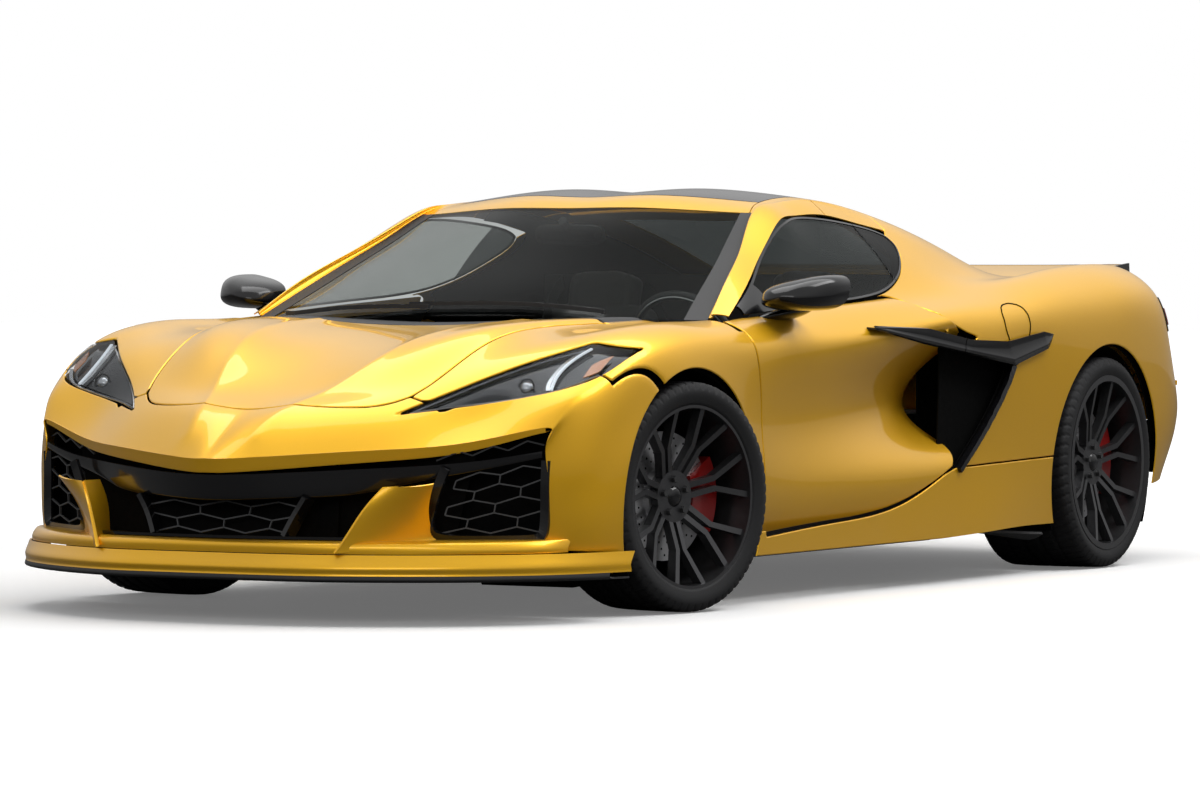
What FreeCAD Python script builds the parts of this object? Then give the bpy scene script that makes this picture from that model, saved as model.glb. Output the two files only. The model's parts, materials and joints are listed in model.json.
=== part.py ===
import FreeCAD, Part
import math
import os
import Sketcher

# Mid-engined two-seat sports coupe. Millimetres, +Z up, nose towards -Y, +X is the
# car's left side. The origin is on the ground below the middle of the car.

V = FreeCAD.Vector
doc = FreeCAD.newDocument("sports_coupe")
sheet = doc.addObject("Spreadsheet::Sheet", "Sizes")

# Driving sizes, in millimetres, and the few angles and counts, in degrees and pieces
SIZES = {
    "wheelbase": 2723, "front_axle_y": -1274, "front_overhang": 1090, "rear_overhang": 895,
    "reference_half_width": 1000, "reference_height": 1000,
    "front_track_half": 839.5, "rear_track_half": 831.5, "steer_toe_angle": 11.7, "kingpin_inset": 45,
    "front_tyre_radius": 330, "front_tyre_width": 275, "front_rim_radius": 262, "front_lip_radius": 271.5,
    "rear_tyre_radius": 345, "rear_tyre_width": 345, "rear_rim_radius": 274, "rear_lip_radius": 284,
    "front_rim_half": 128, "rear_rim_half": 168, "front_hub_face": 57, "rear_hub_face": 113,
    "tyre_shoulder": 34, "tyre_bead_tuck": 12,
    "rim_lip_width": 14, "rim_lip_inset": 12, "rim_wall": 9, "spoke_depth": 32, "spoke_reach": 400,
    "spoke_arm_width": 17, "spoke_slot_width": 13, "spoke_spread_angle": 13,
    "hub_radius": 74, "hub_thickness": 26, "wheel_clock_angle": 13,
    "front_disc_radius": 185, "rear_disc_radius": 190, "front_disc_seat": -14, "rear_disc_seat": 30,
    "disc_width": 32, "disc_bell_radius": 92, "axle_radius": 28, "axle_fit": 0.05,
    "front_axle_reach": 62, "rear_axle_reach": 590,
    "knuckle_radius": 58, "knuckle_length": 60, "knuckle_arm_width": 70, "knuckle_arm_depth": 30,
    "kingpin_radius": 11, "kingpin_height": 124, "kingpin_length": 20, "kingpin_fit": 0.05,
    "caliper_angle": 62, "caliper_wall": 16, "caliper_gap": 1, "caliper_rise": 26, "caliper_depth": 78,
    "wishbone_thickness": 16, "wishbone_end": 18, "wishbone_root": 150,
    "front_arch_shift": -30, "front_arch_height": 300, "front_arch_radius": 395,
    "rear_arch_shift": -4, "rear_arch_height": 325, "rear_arch_radius": 403,
    "skin": 14, "lid_skin": 18, "door_thick": 70, "glass_thick": 6, "seam": 0.3, "shut_gap": 6,
    "overrun": 400,
    "floor_height": 118, "floor_thick": 40, "sill_half_width": 740, "sill_width": 120, "sill_height": 190,
    "wall_thick": 50, "firewall_setback": 404, "firewall_height": 610, "bulkhead_advance": 790,
    "bulkhead_half_width": 640, "bulkhead_height": 800, "tunnel_half_width": 110, "tunnel_height": 220,
    "rail_width": 60, "rail_height": 345, "rail_depth": 30, "foot_z": 834, "foot_length": 300, "lamp_depth": 40,
    "frame_half_width": 440, "frame_front_inset": 280, "frame_rear_inset": 420,
    "engine_gap": 20, "engine_length": 640, "engine_half_width": 300, "engine_height": 600,
    "gearbox_length": 500, "gearbox_half_width": 210, "gearbox_height": 340,
    "seat_width": 480, "seat_length": 520, "seat_lean": 180, "seat_cushion": 150, "seat_back_height": 800,
    "seat_back_depth": 170, "seat_centre": 370, "seat_back_gap": 10,
    "dash_half_width": 690, "dash_width": 1380, "dash_depth": 380, "dash_height": 240, "dash_lip": 60,
    "console_height": 90, "spoiler_thick": 16,
    "steering_wheel_radius": 172, "steering_rim_radius": 14, "steering_column_radius": 22,
    "fender_skin": 6, "beam_depth": 120, "beam_drop": 60, "beam_half_width": 700, "beam_top": 870, "beam_room": 60, "nose_beam_depth": 60, "nose_beam_setback": 66,
    "shaft_room": 45, "hinge_pin_radius": 5, "hinge_pin_fit": 0.05, "hinge_boss": 10, "hinge_plate": 14,
    "hinge_clear": 15, "hinge_post_width": 30, "door_pin_length": 58, "door_axis_x": 930, "door_axis_y": -845,
    "door_hinge_low": 334, "door_hinge_high": 693, "lug_side_gap": 3,
    "hood_axis_y": -1090, "hood_axis_z": 800, "hood_hinge_x": 420, "hood_post_length": 40, "hood_post_height": 317,
    "hood_lug_reach": 190, "hood_lug_root": 60, "hood_lug_rise": 22, "hatch_lug_reach": 140, "hatch_lug_root": 45,
    "hatch_lug_rise": 16, "lug_height": 18,
    "column_angle": 24, "column_x": 370, "column_y": -270, "column_z": 740, "column_length": 200,
    "column_pin_radius": 8, "column_pin_length": 34, "steering_hub_radius": 45, "steering_hub_depth": 36,
    "steering_spoke_width": 30, "steering_spoke_depth": 14, "pipe_radius": 48, "pipe_wall": 4, "pipe_x": 130,
    "pipe_z": 352, "pipe_length": 330, "pipe_end_y": 2360.7, "hatch_axis_y": 440, "hatch_axis_z": 1138, "hatch_hinge_x": 380,
}
COUNTS = {"spoke_count": 7, "lug_count": 5}
SPOKE_KINK_SHARE = .45
SIZES.update(COUNTS)
for row, (alias, value) in enumerate(SIZES.items(), 1):
    sheet.set("A" + str(row), alias)
    sheet.set("B" + str(row), str(value))
    sheet.setAlias("B" + str(row), alias)
doc.recompute()


def size(alias):
    """Value of one named cell of the sheet."""
    return float(sheet.get(alias))


WHEELBASE = size("wheelbase")
FRONT_Y = size("front_axle_y")
REAR_Y = FRONT_Y + WHEELBASE
HALF_WIDTH = size("reference_half_width")
HEIGHT = size("reference_height")
OVERRUN = size("overrun")
SEAM = size("seam")
GAP = size("shut_gap")


def along(share):
    """Y of a share: -1 nose, 0 front axle, 1 rear axle, 2 tail."""
    if share < 0:
        return FRONT_Y + share * size("front_overhang")
    if share <= 1:
        return FRONT_Y + share * WHEELBASE
    return REAR_Y + (share - 1) * size("rear_overhang")


def place(x_share, y_share, z_share):
    return V(x_share * HALF_WIDTH, along(y_share), z_share * HEIGHT)


# Nets of the body. Each line runs from the nose to the tail, and the lines lie one
# below the other from the middle of the car to the rocker.

# Front net: how far along the middle line and the outer lines each station lies
FRONT_MIDDLE_SHARES = [-0.995, -0.85, -0.70, -0.55, -0.38, -0.19, 0, 0.065, 0.14, 0.23, 0.33, 0.43, 0.52, 0.60]
FRONT_OUTER_SHARES = [-0.599, -0.54, -0.46, -0.36, -0.25, -0.13, 0, 0.065, 0.14, 0.23, 0.33, 0.43, 0.52, 0.60]
FRONT_SWEEP_SHARES = [0, 0.05, 0.38, 0.75, 1, 1, 1, 1, 1, 1]
FRONT_X_SHARES = [
    [0] * 14,
    [.10, .15, .235, .30, .365, .43, .48, .50, .52, .54, .55, .55, .55, .55],
    [.40, .43, .46, .485, .51, .54, .57, .59, .62, .64, .65, .65, .65, .65],
    [.64, .64, .65, .66, .67, .68, .70, .71, .73, .75, .76, .76, .75, .74],
    [.836, .84, .835, .825, .815, .81, .81, .82, .84, .855, .86, .858, .852, .84],
    [.842, .885, .915, .93, .93, .925, .925, .93, .935, .94, .943, .945, .945, .945],
    [.843, .90, .935, .955, .965, .97, .97, .965, .96, .96, .96, .96, .96, .965],
    [.842, .902, .94, .965, .975, .98, .982, .975, .955, .935, .92, .895, .86, .80],
    [.835, .90, .94, .965, .98, .985, .985, .98, .965, .955, .955, .955, .95, .93],
    [.824, .89, .93, .955, .975, .98, .98, .975, .93, .925, .935, .95, .965, .98],
]
FRONT_Z_SHARES = [
    [.455, .562, .625, .69, .752, .79, .81, .822, .83, .835, .84, .84, .84, .84],
    [.457, .575, .632, .717, .79, .822, .832, .835, .838, .84, .84, .84, .84, .84],
    [.477, .575, .65, .725, .787, .812, .82, .824, .83, .835, .84, .845, .85, .86],
    [.498, .575, .675, .745, .782, .80, .805, .812, .822, .832, .842, .85, .865, .88],
    [.541, .615, .68, .745, .795, .816, .825, .826, .829, .84, .858, .872, .885, .895],
    [.50, .565, .63, .70, .755, .785, .795, .79, .785, .79, .795, .81, .83, .85],
    [.42, .45, .50, .57, .64, .68, .69, .69, .69, .70, .715, .735, .755, .775],
    [.34, .36, .40, .44, .48, .52, .53, .52, .52, .53, .54, .555, .565, .575],
    [.27, .275, .285, .30, .32, .33, .33, .33, .34, .35, .365, .385, .405, .43],
    [.205, .20, .195, .19, .19, .19, .19, .19, .195, .205, .225, .25, .285, .34],
]

# Upper and rear net: windscreen, roof, side glass, buttresses, hips and tail
REAR_MIDDLE_SHARES = [.057, .126, .20, .273, .339, .387, .497, .60, .688, .773, .857, .931, 1, 1.2, 1.4, 1.6, 1.8, 1.985]
REAR_PILLAR_SHARES = [.136, .203, .27, .328, .383, .431, .504, .60, .688, .773, .857, .931, 1, 1.2, 1.4, 1.6, 1.8, 1.985]
REAR_GLASS_SHARES = [.150, .224, .284, .336, .389, .438, .512, .60, .688, .773, .857, .931, 1, 1.2, 1.4, 1.6, 1.8, 1.985]
REAR_SWEEP_SHARES = [(0, 0), (.25, 0), (1, 0), (.8, .2), (0, 1), (0, 1), (0, 1), (0, 1), (0, 1), (0, 1), (0, 1), (0, 1)]
REAR_TUCK_SHARES = [0, 0, .02, .05, .12, .25, .31, .30, .22, .17, .18, .31]
REAR_TUCK_GROWTH_SHARES = [0] * 15 + [.15, .5, 1]
REAR_X_SHARES = [
    [0] * 18,
    [.40, .37, .335, .30, .27, .25, .24, .24, .24, .24, .24, .24, .24, .24, .24, .24, .24, .24],
    [.748, .70, .655, .61, .569, .532, .53, .52, .50, .48, .46, .45, .45, .45, .45, .45, .45, .45],
    [.79, .743, .69, .632, .588, .585, .585, .59, .59, .59, .585, .575, .565, .56, .56, .56, .56, .56],
    [.83, .785, .735, .697, .662, .643, .632, .637, .66, .675, .68, .68, .68, .68, .68, .68, .67, .66],
    [.862, .828, .80, .785, .765, .755, .75, .745, .755, .765, .775, .78, .78, .78, .78, .775, .76, .74],
    [.90, .857, .856, .858, .858, .856, .852, .85, .855, .858, .862, .863, .862, .86, .855, .845, .82, .79],
    [.945, .935, .94, .943, .944, .945, .95, .955, .965, .975, .975, .975, .975, .975, .965, .945, .91, .87],
    [.96, .96, .96, .96, .96, .96, .965, .985, 1.0, 1.005, 1.01, 1.012, 1.0125, 1.01, 1.0, .98, .945, .905],
    [.97, .97, .97, .97, .97, .97, .975, .985, .995, 1.0, 1.005, 1.01, 1.0125, 1.012, 1.003, .985, .955, .92],
    [.97, .97, .97, .97, .97, .97, .975, .98, .985, .99, .995, 1.0, 1.01, 1.008, 1.0, .98, .95, .915],
    [.97, .97, .97, .97, .97, .97, .975, .98, .985, .985, .985, .99, 1.0, 1.0, .985, .96, .925, .89],
]
REAR_Z_SHARES = [
    [.838, .925, 1.01, 1.095, 1.163, 1.198, 1.216, 1.197, 1.15, 1.092, 1.03, .978, .945, .93, .928, .935, .945, .95],
    [.836, .923, 1.009, 1.094, 1.163, 1.203, 1.227, 1.203, 1.155, 1.096, 1.032, .979, .945, .93, .928, .935, .945, .95],
    [.825, .91, .995, 1.072, 1.147, 1.18, 1.198, 1.182, 1.148, 1.105, 1.045, .985, .948, .935, .933, .94, .95, .955],
    [.832, .94, 1.02, 1.095, 1.163, 1.18, 1.188, 1.165, 1.133, 1.09, 1.038, .985, .95, .94, .943, .95, .96, .96],
    [.83, .925, 1.0, 1.068, 1.13, 1.143, 1.147, 1.12, 1.085, 1.035, .985, .957, .95, .955, .96, .965, .965, .96],
    [.80, .882, .93, .96, .99, 1.005, 1.01, 1.01, .985, .955, .945, .955, .968, .975, .978, .975, .965, .945],
    [.755, .84, .852, .86, .868, .875, .885, .895, .905, .92, .945, .968, .982, .988, .985, .965, .93, .885],
    [.69, .77, .79, .797, .802, .81, .825, .84, .85, .86, .885, .90, .91, .915, .91, .89, .85, .80],
    [.60, .68, .70, .71, .715, .72, .735, .745, .745, .75, .76, .77, .775, .78, .77, .75, .71, .68],
    [.48, .54, .56, .57, .58, .59, .60, .59, .58, .57, .57, .575, .58, .58, .58, .58, .57, .56],
    [.35, .39, .40, .41, .42, .42, .43, .42, .41, .40, .40, .40, .40, .40, .41, .42, .42, .43],
    [.20, .20, .21, .22, .23, .24, .25, .25, .25, .25, .25, .25, .25, .255, .26, .27, .28, .29],
]


def front_net():
    lines = []
    for line, sweep in enumerate(FRONT_SWEEP_SHARES):
        points = []
        for station, middle in enumerate(FRONT_MIDDLE_SHARES):
            y_share = middle + sweep * (FRONT_OUTER_SHARES[station] - middle)
            points.append(place(FRONT_X_SHARES[line][station], y_share, FRONT_Z_SHARES[line][station]))
        lines.append(points)
    return lines


def rear_net():
    lines = []
    for line, (pillar, glass) in enumerate(REAR_SWEEP_SHARES):
        points = []
        for station, middle in enumerate(REAR_MIDDLE_SHARES):
            y_share = middle + pillar * (REAR_PILLAR_SHARES[station] - middle)
            y_share += glass * (REAR_GLASS_SHARES[station] - middle)
            y_share -= REAR_TUCK_SHARES[line] * REAR_TUCK_GROWTH_SHARES[station]
            points.append(place(REAR_X_SHARES[line][station], y_share, REAR_Z_SHARES[line][station]))
        lines.append(points)
    return lines


def bend_of(points):
    """Second differences of a natural cubic spline through evenly numbered points."""
    count = len(points)
    slope = [0.0] * count
    bend = [V(0, 0, 0) for point in points]
    for i in range(1, count - 1):
        pull = (points[i + 1] - points[i] * 2 + points[i - 1]) * 6
        pivot = 4 - slope[i - 1]
        slope[i] = 1 / pivot
        bend[i] = (pull - bend[i - 1]) * slope[i]
    for i in range(count - 2, 0, -1):
        bend[i] = bend[i] - bend[i + 1] * slope[i]
    return bend


def spline_at(points, bend, t):
    """Point of the natural spline at number t, carried on straight beyond its ends."""
    i = min(max(int(math.floor(t)), 0), len(points) - 2)
    b = t - i
    a = 1 - b
    if b < 0 or a < 0:
        edge = points[i + 1] - points[i] - (bend[i] * 2 + bend[i + 1]) / 6
        if a < 0:
            edge = points[i + 1] - points[i] + (bend[i] + bend[i + 1] * 2) / 6
            return points[i + 1] - edge * a
        return points[i] + edge * b
    return points[i] * a + points[i + 1] * b + (bend[i] * (a ** 3 - a) + bend[i + 1] * (b ** 3 - b)) / 6


def patch_points(net, stations, lines, steps):
    """Grid of points of a net over a range of stations and lines. A line number below
    zero is the same line on the other side of the car."""
    bends = [bend_of(line) for line in net]
    grid = []
    for i in range(steps[0] + 1):
        station = stations[0] + (stations[1] - stations[0]) * i / steps[0]
        section = [spline_at(line, bend, station) for line, bend in zip(net, bends)]
        other_side = [V(-point.x, point.y, point.z) for point in section[:0:-1]]
        whole = other_side + section
        curve = bend_of(whole)
        row = []
        for j in range(steps[1] + 1):
            line = lines[0] + (lines[1] - lines[0]) * j / steps[1]
            row.append(spline_at(whole, curve, line + len(other_side)))
        grid.append(row)
    return grid


def inward(grid, depth):
    """The grid moved towards the inside of the car along its own normals."""
    rows = len(grid) - 1
    columns = len(grid[0]) - 1
    moved = []
    for i, row in enumerate(grid):
        line = []
        for j, point in enumerate(row):
            down = grid[min(i + 1, rows)][j] - grid[max(i - 1, 0)][j]
            across = row[min(j + 1, columns)] - row[max(j - 1, 0)]
            normal = across.cross(down)
            normal.normalize()
            line.append(point - normal * depth)
        moved.append(line)
    return moved


def poles_of(points):
    """Control points of the even cubic B-spline that is the natural spline."""
    core = [point - bend / 6 for point, bend in zip(points, bend_of(points))]
    return [core[0] * 2 - core[1]] + core + [core[-1] * 2 - core[-2]]


def spline_surface(grid):
    """Smooth surface through a grid of points, evenly numbered both ways."""
    rows = [poles_of(row) for row in grid]
    columns = [poles_of(list(column)) for column in zip(*rows)]
    poles = [list(row) for row in zip(*columns)]
    knots = [list(range(-3, len(line) + 1)) for line in (columns[0], poles[0])]
    surface = Part.BSplineSurface()
    surface.buildFromPolesMultsKnots(
        poles, [1] * len(knots[0]), [1] * len(knots[1]), knots[0], knots[1], False, False, 3, 3)
    surface.segment(0, len(grid) - 1, 0, len(grid[0]) - 1)
    return surface


def between(outer, inner):
    """Closed solid between two grids of points."""
    sheets = [spline_surface(grid) for grid in (outer, inner)]
    faces = [surface.toShape() for surface in sheets]
    borders = []
    for surface in sheets:
        u0, u1, v0, v1 = surface.bounds()
        curves = [surface.uIso(u0), surface.uIso(u1), surface.vIso(v0), surface.vIso(v1)]
        borders.append([curve.toShape() for curve in curves])
    for one, other in zip(*borders):
        faces.append(Part.makeRuledSurface(one, other))
    shell = Part.makeShell(faces)
    shell.sewShape()
    solid = Part.makeSolid(shell)
    if solid.Volume < 0:
        solid.reverse()
    return solid


def panel(net, stations, lines, depth, steps=(16, 12), lift=0):
    """Wall of one depth that follows the net, its outer face sunk by lift."""
    points = patch_points(net, stations, lines, steps)
    outer = inward(points, lift) if lift else points
    return between(outer, inward(points, depth + lift))


def outline(stretches):
    """Closed wire from stretches of points: two points make a line, more a curve."""
    edges = []
    for points in stretches:
        if len(points) == 2:
            edges.append(Part.LineSegment(points[0], points[1]).toShape())
        else:
            curve = Part.BSplineCurve()
            curve.interpolate(points)
            edges.append(curve.toShape())
    return Part.Wire(edges)


def moved_out(stretches, distance, up):
    """Stretches of a closed outline moved out by a distance, or in where it is below
    zero. Each point goes along the mitre of the two runs that meet there."""
    loop = [point for points in stretches for point in points[:-1]]
    count = len(loop)
    area = sum((loop[i - 1].cross(loop[i]).dot(up) for i in range(count)), 0)
    turn = distance if area > 0 else -distance
    shifted = []
    for i, point in enumerate(loop):
        before = (point - loop[i - 1]).cross(up).normalize()
        after = (loop[(i + 1) % count] - point).cross(up).normalize()
        mitre = (before + after) / (1 + before.dot(after))
        shifted.append(point + mitre * turn)
    result = []
    start = 0
    for points in stretches:
        end = start + len(points) - 1
        result.append([shifted[i % count] for i in range(start, end + 1)])
        start = end
    return result


def slab(net, stations, lines, push, steps=(20, 16)):
    """Wall between the net and the same net pushed to one side."""
    points = patch_points(net, stations, lines, steps)
    return between(points, [[point + push for point in row] for row in points])


def front_view(stretches, growth=0):
    """Closed outline in the front view from shares, moved out by growth."""
    points = [[V(x * HALF_WIDTH, 0, z * HEIGHT) for x, z in stretch] for stretch in stretches]
    return outline(moved_out(points, growth, V(0, 1, 0)))


def side_view(stretches, growth=0):
    """Closed outline in the side view from shares, moved out by growth."""
    points = [[V(0, along(y), z * HEIGHT) for y, z in stretch] for stretch in stretches]
    return outline(moved_out(points, growth, V(1, 0, 0)))


def plan_view(stretches, growth=0):
    """Closed outline in the plan view from shares, moved out by growth."""
    points = [[V(x * HALF_WIDTH, along(y), 0) for x, y in stretch] for stretch in stretches]
    return outline(moved_out(points, growth, V(0, 0, 1)))


def prism(wire, start, run):
    """Solid swept by an outline from start along run."""
    face = Part.Face(wire)
    face.translate(start)
    solid = face.extrude(run)
    if solid.Volume < 0:
        solid.reverse()
    return solid


def side_prism(wire, inner_x, outer_x):
    return prism(wire, V(inner_x, 0, 0), V(outer_x - inner_x, 0, 0))


def plan_prism(wire, low, high):
    return prism(wire, V(0, 0, low), V(0, 0, high - low))


def front_prism(wire, near_y, far_y):
    return prism(wire, V(0, near_y, 0), V(0, far_y - near_y, 0))


def mirrored(shape):
    return shape.mirror(V(0, 0, 0), V(1, 0, 0))


def both(shape):
    """The piece and its twin on the other side."""
    return Part.makeCompound([shape, mirrored(shape)])


def whole_width(stretches):
    """Outline that crosses the middle of the car, from its left half."""
    twin = [[(-x, y) for x, y in reversed(stretch)] for stretch in reversed(stretches)]
    return stretches + twin


def largest(shape):
    return max(shape.Solids, key=lambda solid: solid.Volume)


def keep(label, shape):
    """Sub-part whose shape is made by the functions above."""
    solids = list(shape.Solids)
    piece = doc.addObject("Part::Feature", label)
    piece.Label = label
    piece.Shape = solids[0] if len(solids) == 1 else Part.makeCompound(solids)
    return piece


FRONT = front_net()
REAR = rear_net()

# Outlines in the side view, as shares along the car and of the reference height
DOOR_SHARES = [
    [(.126, .828), (.134, .714), (.142, .631), (.147, .511), (.147, .33), (.147, .20)],
    [(.147, .20), (.30, .223), (.455, .255), (.594, .364)],
    [(.594, .364), (.606, .437), (.590, .547), (.598, .66), (.645, .765)],
    [(.645, .765), (.60, .80), (.552, .87), (.512, .895)],
    [(.512, .895), (.30, .858), (.126, .828)],
]
WINDOW_SHARES = [
    [(.150, .836), (.229, .928), (.331, 1.062), (.392, 1.122), (.464, 1.138), (.587, 1.115), (.642, 1.085)],
    [(.642, 1.085), (.646, 1.043), (.617, .986), (.577, .94), (.518, .903), (.441, .883)],
    [(.441, .883), (.30, .862), (.150, .836)],
]
GLASS_SPLIT_SHARE = .575

# Outlines in the plan view, as shares of the half width and along the car
HOOD_SHARES = whole_width([
    [(0, -.80), (.20, -.785), (.36, -.735), (.44, -.66)],
    [(.44, -.66), (.475, -.56), (.505, -.40), (.535, -.22), (.575, 0), (.60, .045)],
    [(.60, .045), (.30, .018), (0, .010)],
])
LAMP_SHARES = [
    [(.442, .577), (.52, .626), (.66, .702), (.812, .772)],
    [(.812, .772), (.93, .755)],
    [(.93, .755), (.90, .683), (.80, .639), (.62, .604), (.442, .577)],
]
FASCIA_SHARES = whole_width([
    [(0, -1.2), (1.2, -1.2)],
    [(1.2, -1.2), (1.2, .40)],
    [(1.2, .40), (.93, -.406)],
    [(.93, -.406), (.75, -.50)],
    [(.75, -.50), (.62, -.575)],
    [(.62, -.575), (.54, -.66)],
    [(.54, -.66), (.44, -.66)],
    [(.44, -.66), (0, -.66)],
])
RAIL_SHARES = [
    [(.45, 1.3), (.66, 1.3)],
    [(.66, 1.3), (.657, 1.10)],
    [(.657, 1.10), (.638, 1.075)],
    [(.638, 1.075), (.58, 1.10), (.45, 1.12)],
    [(.45, 1.12), (.45, 1.3)],
]
PILLAR_FOOT_SHARES = [
    [(.118, .80), (.118, 1.3)],
    [(.118, 1.3), (.40, 1.3)],
    [(.40, 1.3), (.40, .80)],
    [(.40, .80), (.118, .80)],
]
INTAKE_SHARES = [
    [(.552, .80), (.70, .70)],
    [(.70, .70), (.605, .36)],
    [(.605, .36), (.50, .36)],
    [(.50, .36), (.552, .80)],
]
SKIRT_SHARES = [
    [(.10, .143), (.10, .215)],
    [(.10, .215), (.25, .225)],
    [(.25, .225), (.40, .245)],
    [(.40, .245), (.455, .262)],
    [(.455, .262), (.53, .315)],
    [(.53, .315), (.60, .362)],
    [(.60, .362), (.66, .365)],
    [(.66, .365), (.872, .378)],
    [(.872, .378), (.872, .143)],
    [(.872, .143), (.10, .143)],
]
SIDE_REACH = HALF_WIDTH * 1.2
SKY = HEIGHT * 1.5


def arch(y, radius, centre_z):
    """Opening of a wheel arch, through the outer part of the car."""
    return Part.makeCylinder(radius, OVERRUN * 2, V(HALF_WIDTH / 2, y, centre_z), V(1, 0, 0))


def edge_plane(body, role):
    """One of the body's own origin planes."""
    for plane in body.Origin.OriginFeatures:
        if plane.Role == role:
            return plane


def sketch_on(body, role, name, loops, offset=0):
    """Sketch of closed loops on an origin plane of the body, or beside it by offset.
    A loop is a list of corners, or a centre and a radius."""
    sketch = body.newObject("Sketcher::SketchObject", name)
    sketch.AttachmentSupport = [(edge_plane(body, role), "")]
    sketch.MapMode = "FlatFace"
    sketch.AttachmentOffset = FreeCAD.Placement(V(0, 0, offset), FreeCAD.Rotation())
    for loop in loops:
        if len(loop) == 2:
            centre, radius = loop
            sketch.addGeometry(Part.Circle(V(*centre, 0), V(0, 0, 1), radius), False)
            continue
        for start, end in zip(loop, loop[1:] + loop[:1]):
            sketch.addGeometry(Part.LineSegment(V(*start, 0), V(*end, 0)), False)
    return sketch


def new_body(label, placement=None):
    body = doc.addObject("PartDesign::Body", label)
    body.Label = label
    if placement:
        body.Placement = placement
    return body


def turned(body, sketch, name, cut=False):
    """Revolution, or groove, of a sketch about the wheel's axis, which is X."""
    kind = "PartDesign::Groove" if cut else "PartDesign::Revolution"
    feature = body.newObject(kind, name)
    feature.Profile = sketch
    feature.ReferenceAxis = (sketch, ["H_Axis"])
    feature.Angle = 360
    sketch.Visibility = False
    body.Tip = feature
    return feature


def padded(body, sketch, name, alias, midplane=True, cut=False):
    """Pad, or pocket, of a sketch by a named size."""
    kind = "PartDesign::Pocket" if cut else "PartDesign::Pad"
    feature = body.newObject(kind, name)
    feature.Profile = sketch
    feature.setExpression("Length", "Sizes." + alias)
    feature.Midplane = midplane
    sketch.Visibility = False
    body.Tip = feature
    return feature


def round_pattern(body, feature, sketch, name, count):
    """Copies of a feature round the wheel's axis."""
    pattern = body.newObject("PartDesign::PolarPattern", name)
    pattern.Originals = [feature]
    pattern.Axis = (sketch, ["N_Axis"])
    pattern.Angle = 360
    pattern.setExpression("Occurrences", "Sizes." + count)
    body.Tip = pattern
    return pattern


# Corners of the car: each wheel is drawn about its own axis, X outwards
AXLES = {
    "front": {"y": FRONT_Y, "x": size("front_track_half"), "tyre": size("front_tyre_radius"),
              "width": size("front_tyre_width"), "rim": size("front_rim_radius"),
              "lip": size("front_lip_radius"), "disc": size("front_disc_radius"),
              "disc_x": size("front_disc_seat"), "rim_half": size("front_rim_half"),
              "hub_front": size("front_hub_face"), "axle": size("front_axle_reach")},
    "rear": {"y": REAR_Y, "x": size("rear_track_half"), "tyre": size("rear_tyre_radius"),
             "width": size("rear_tyre_width"), "rim": size("rear_rim_radius"),
             "lip": size("rear_lip_radius"), "disc": size("rear_disc_radius"),
             "disc_x": size("rear_disc_seat"), "rim_half": size("rear_rim_half"),
             "hub_front": size("rear_hub_face"), "axle": size("rear_axle_reach")},
}


def corner_place(axle, side, clock=0):
    """Placement of a corner: side 1 is the car's left, -1 its right."""
    data = AXLES[axle]
    yaw = -size("steer_toe_angle") if axle == "front" else 0
    turn = FreeCAD.Rotation(V(0, 0, 1), yaw)
    if side < 0:
        turn = turn * FreeCAD.Rotation(V(0, 0, 1), 180)
    reach = data["x"] - size("kingpin_inset")
    pivot = V(side * reach, data["y"], data["tyre"])
    centre = pivot + turn.multVec(V(size("kingpin_inset"), 0, 0))
    return FreeCAD.Placement(centre, turn * FreeCAD.Rotation(V(1, 0, 0), clock))


def tyre(label, axle, side):
    data = AXLES[axle]
    half = data["width"] / 2
    outer = data["tyre"]
    bead = data["rim"] + SEAM
    seat = data["rim_half"] - size("rim_lip_width") - SEAM
    lip = data["lip"] + SEAM
    shoulder = size("tyre_shoulder")
    bulge = (outer + bead) / 2
    profile = [
        (-seat, bead), (seat, bead), (seat, lip), (half - size("tyre_bead_tuck"), lip + shoulder / 4),
        (half, bulge), (half - shoulder / 3, outer - shoulder / 3), (half - shoulder, outer),
        (-half + shoulder, outer), (-half + shoulder / 3, outer - shoulder / 3), (-half, bulge),
        (-half + size("tyre_bead_tuck"), lip + shoulder / 4), (-seat, lip),
    ]
    body = new_body(label, corner_place(axle, side))
    turned(body, sketch_on(body, "XY_Plane", label + "_profile", [profile]), label + "_ring")


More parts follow.
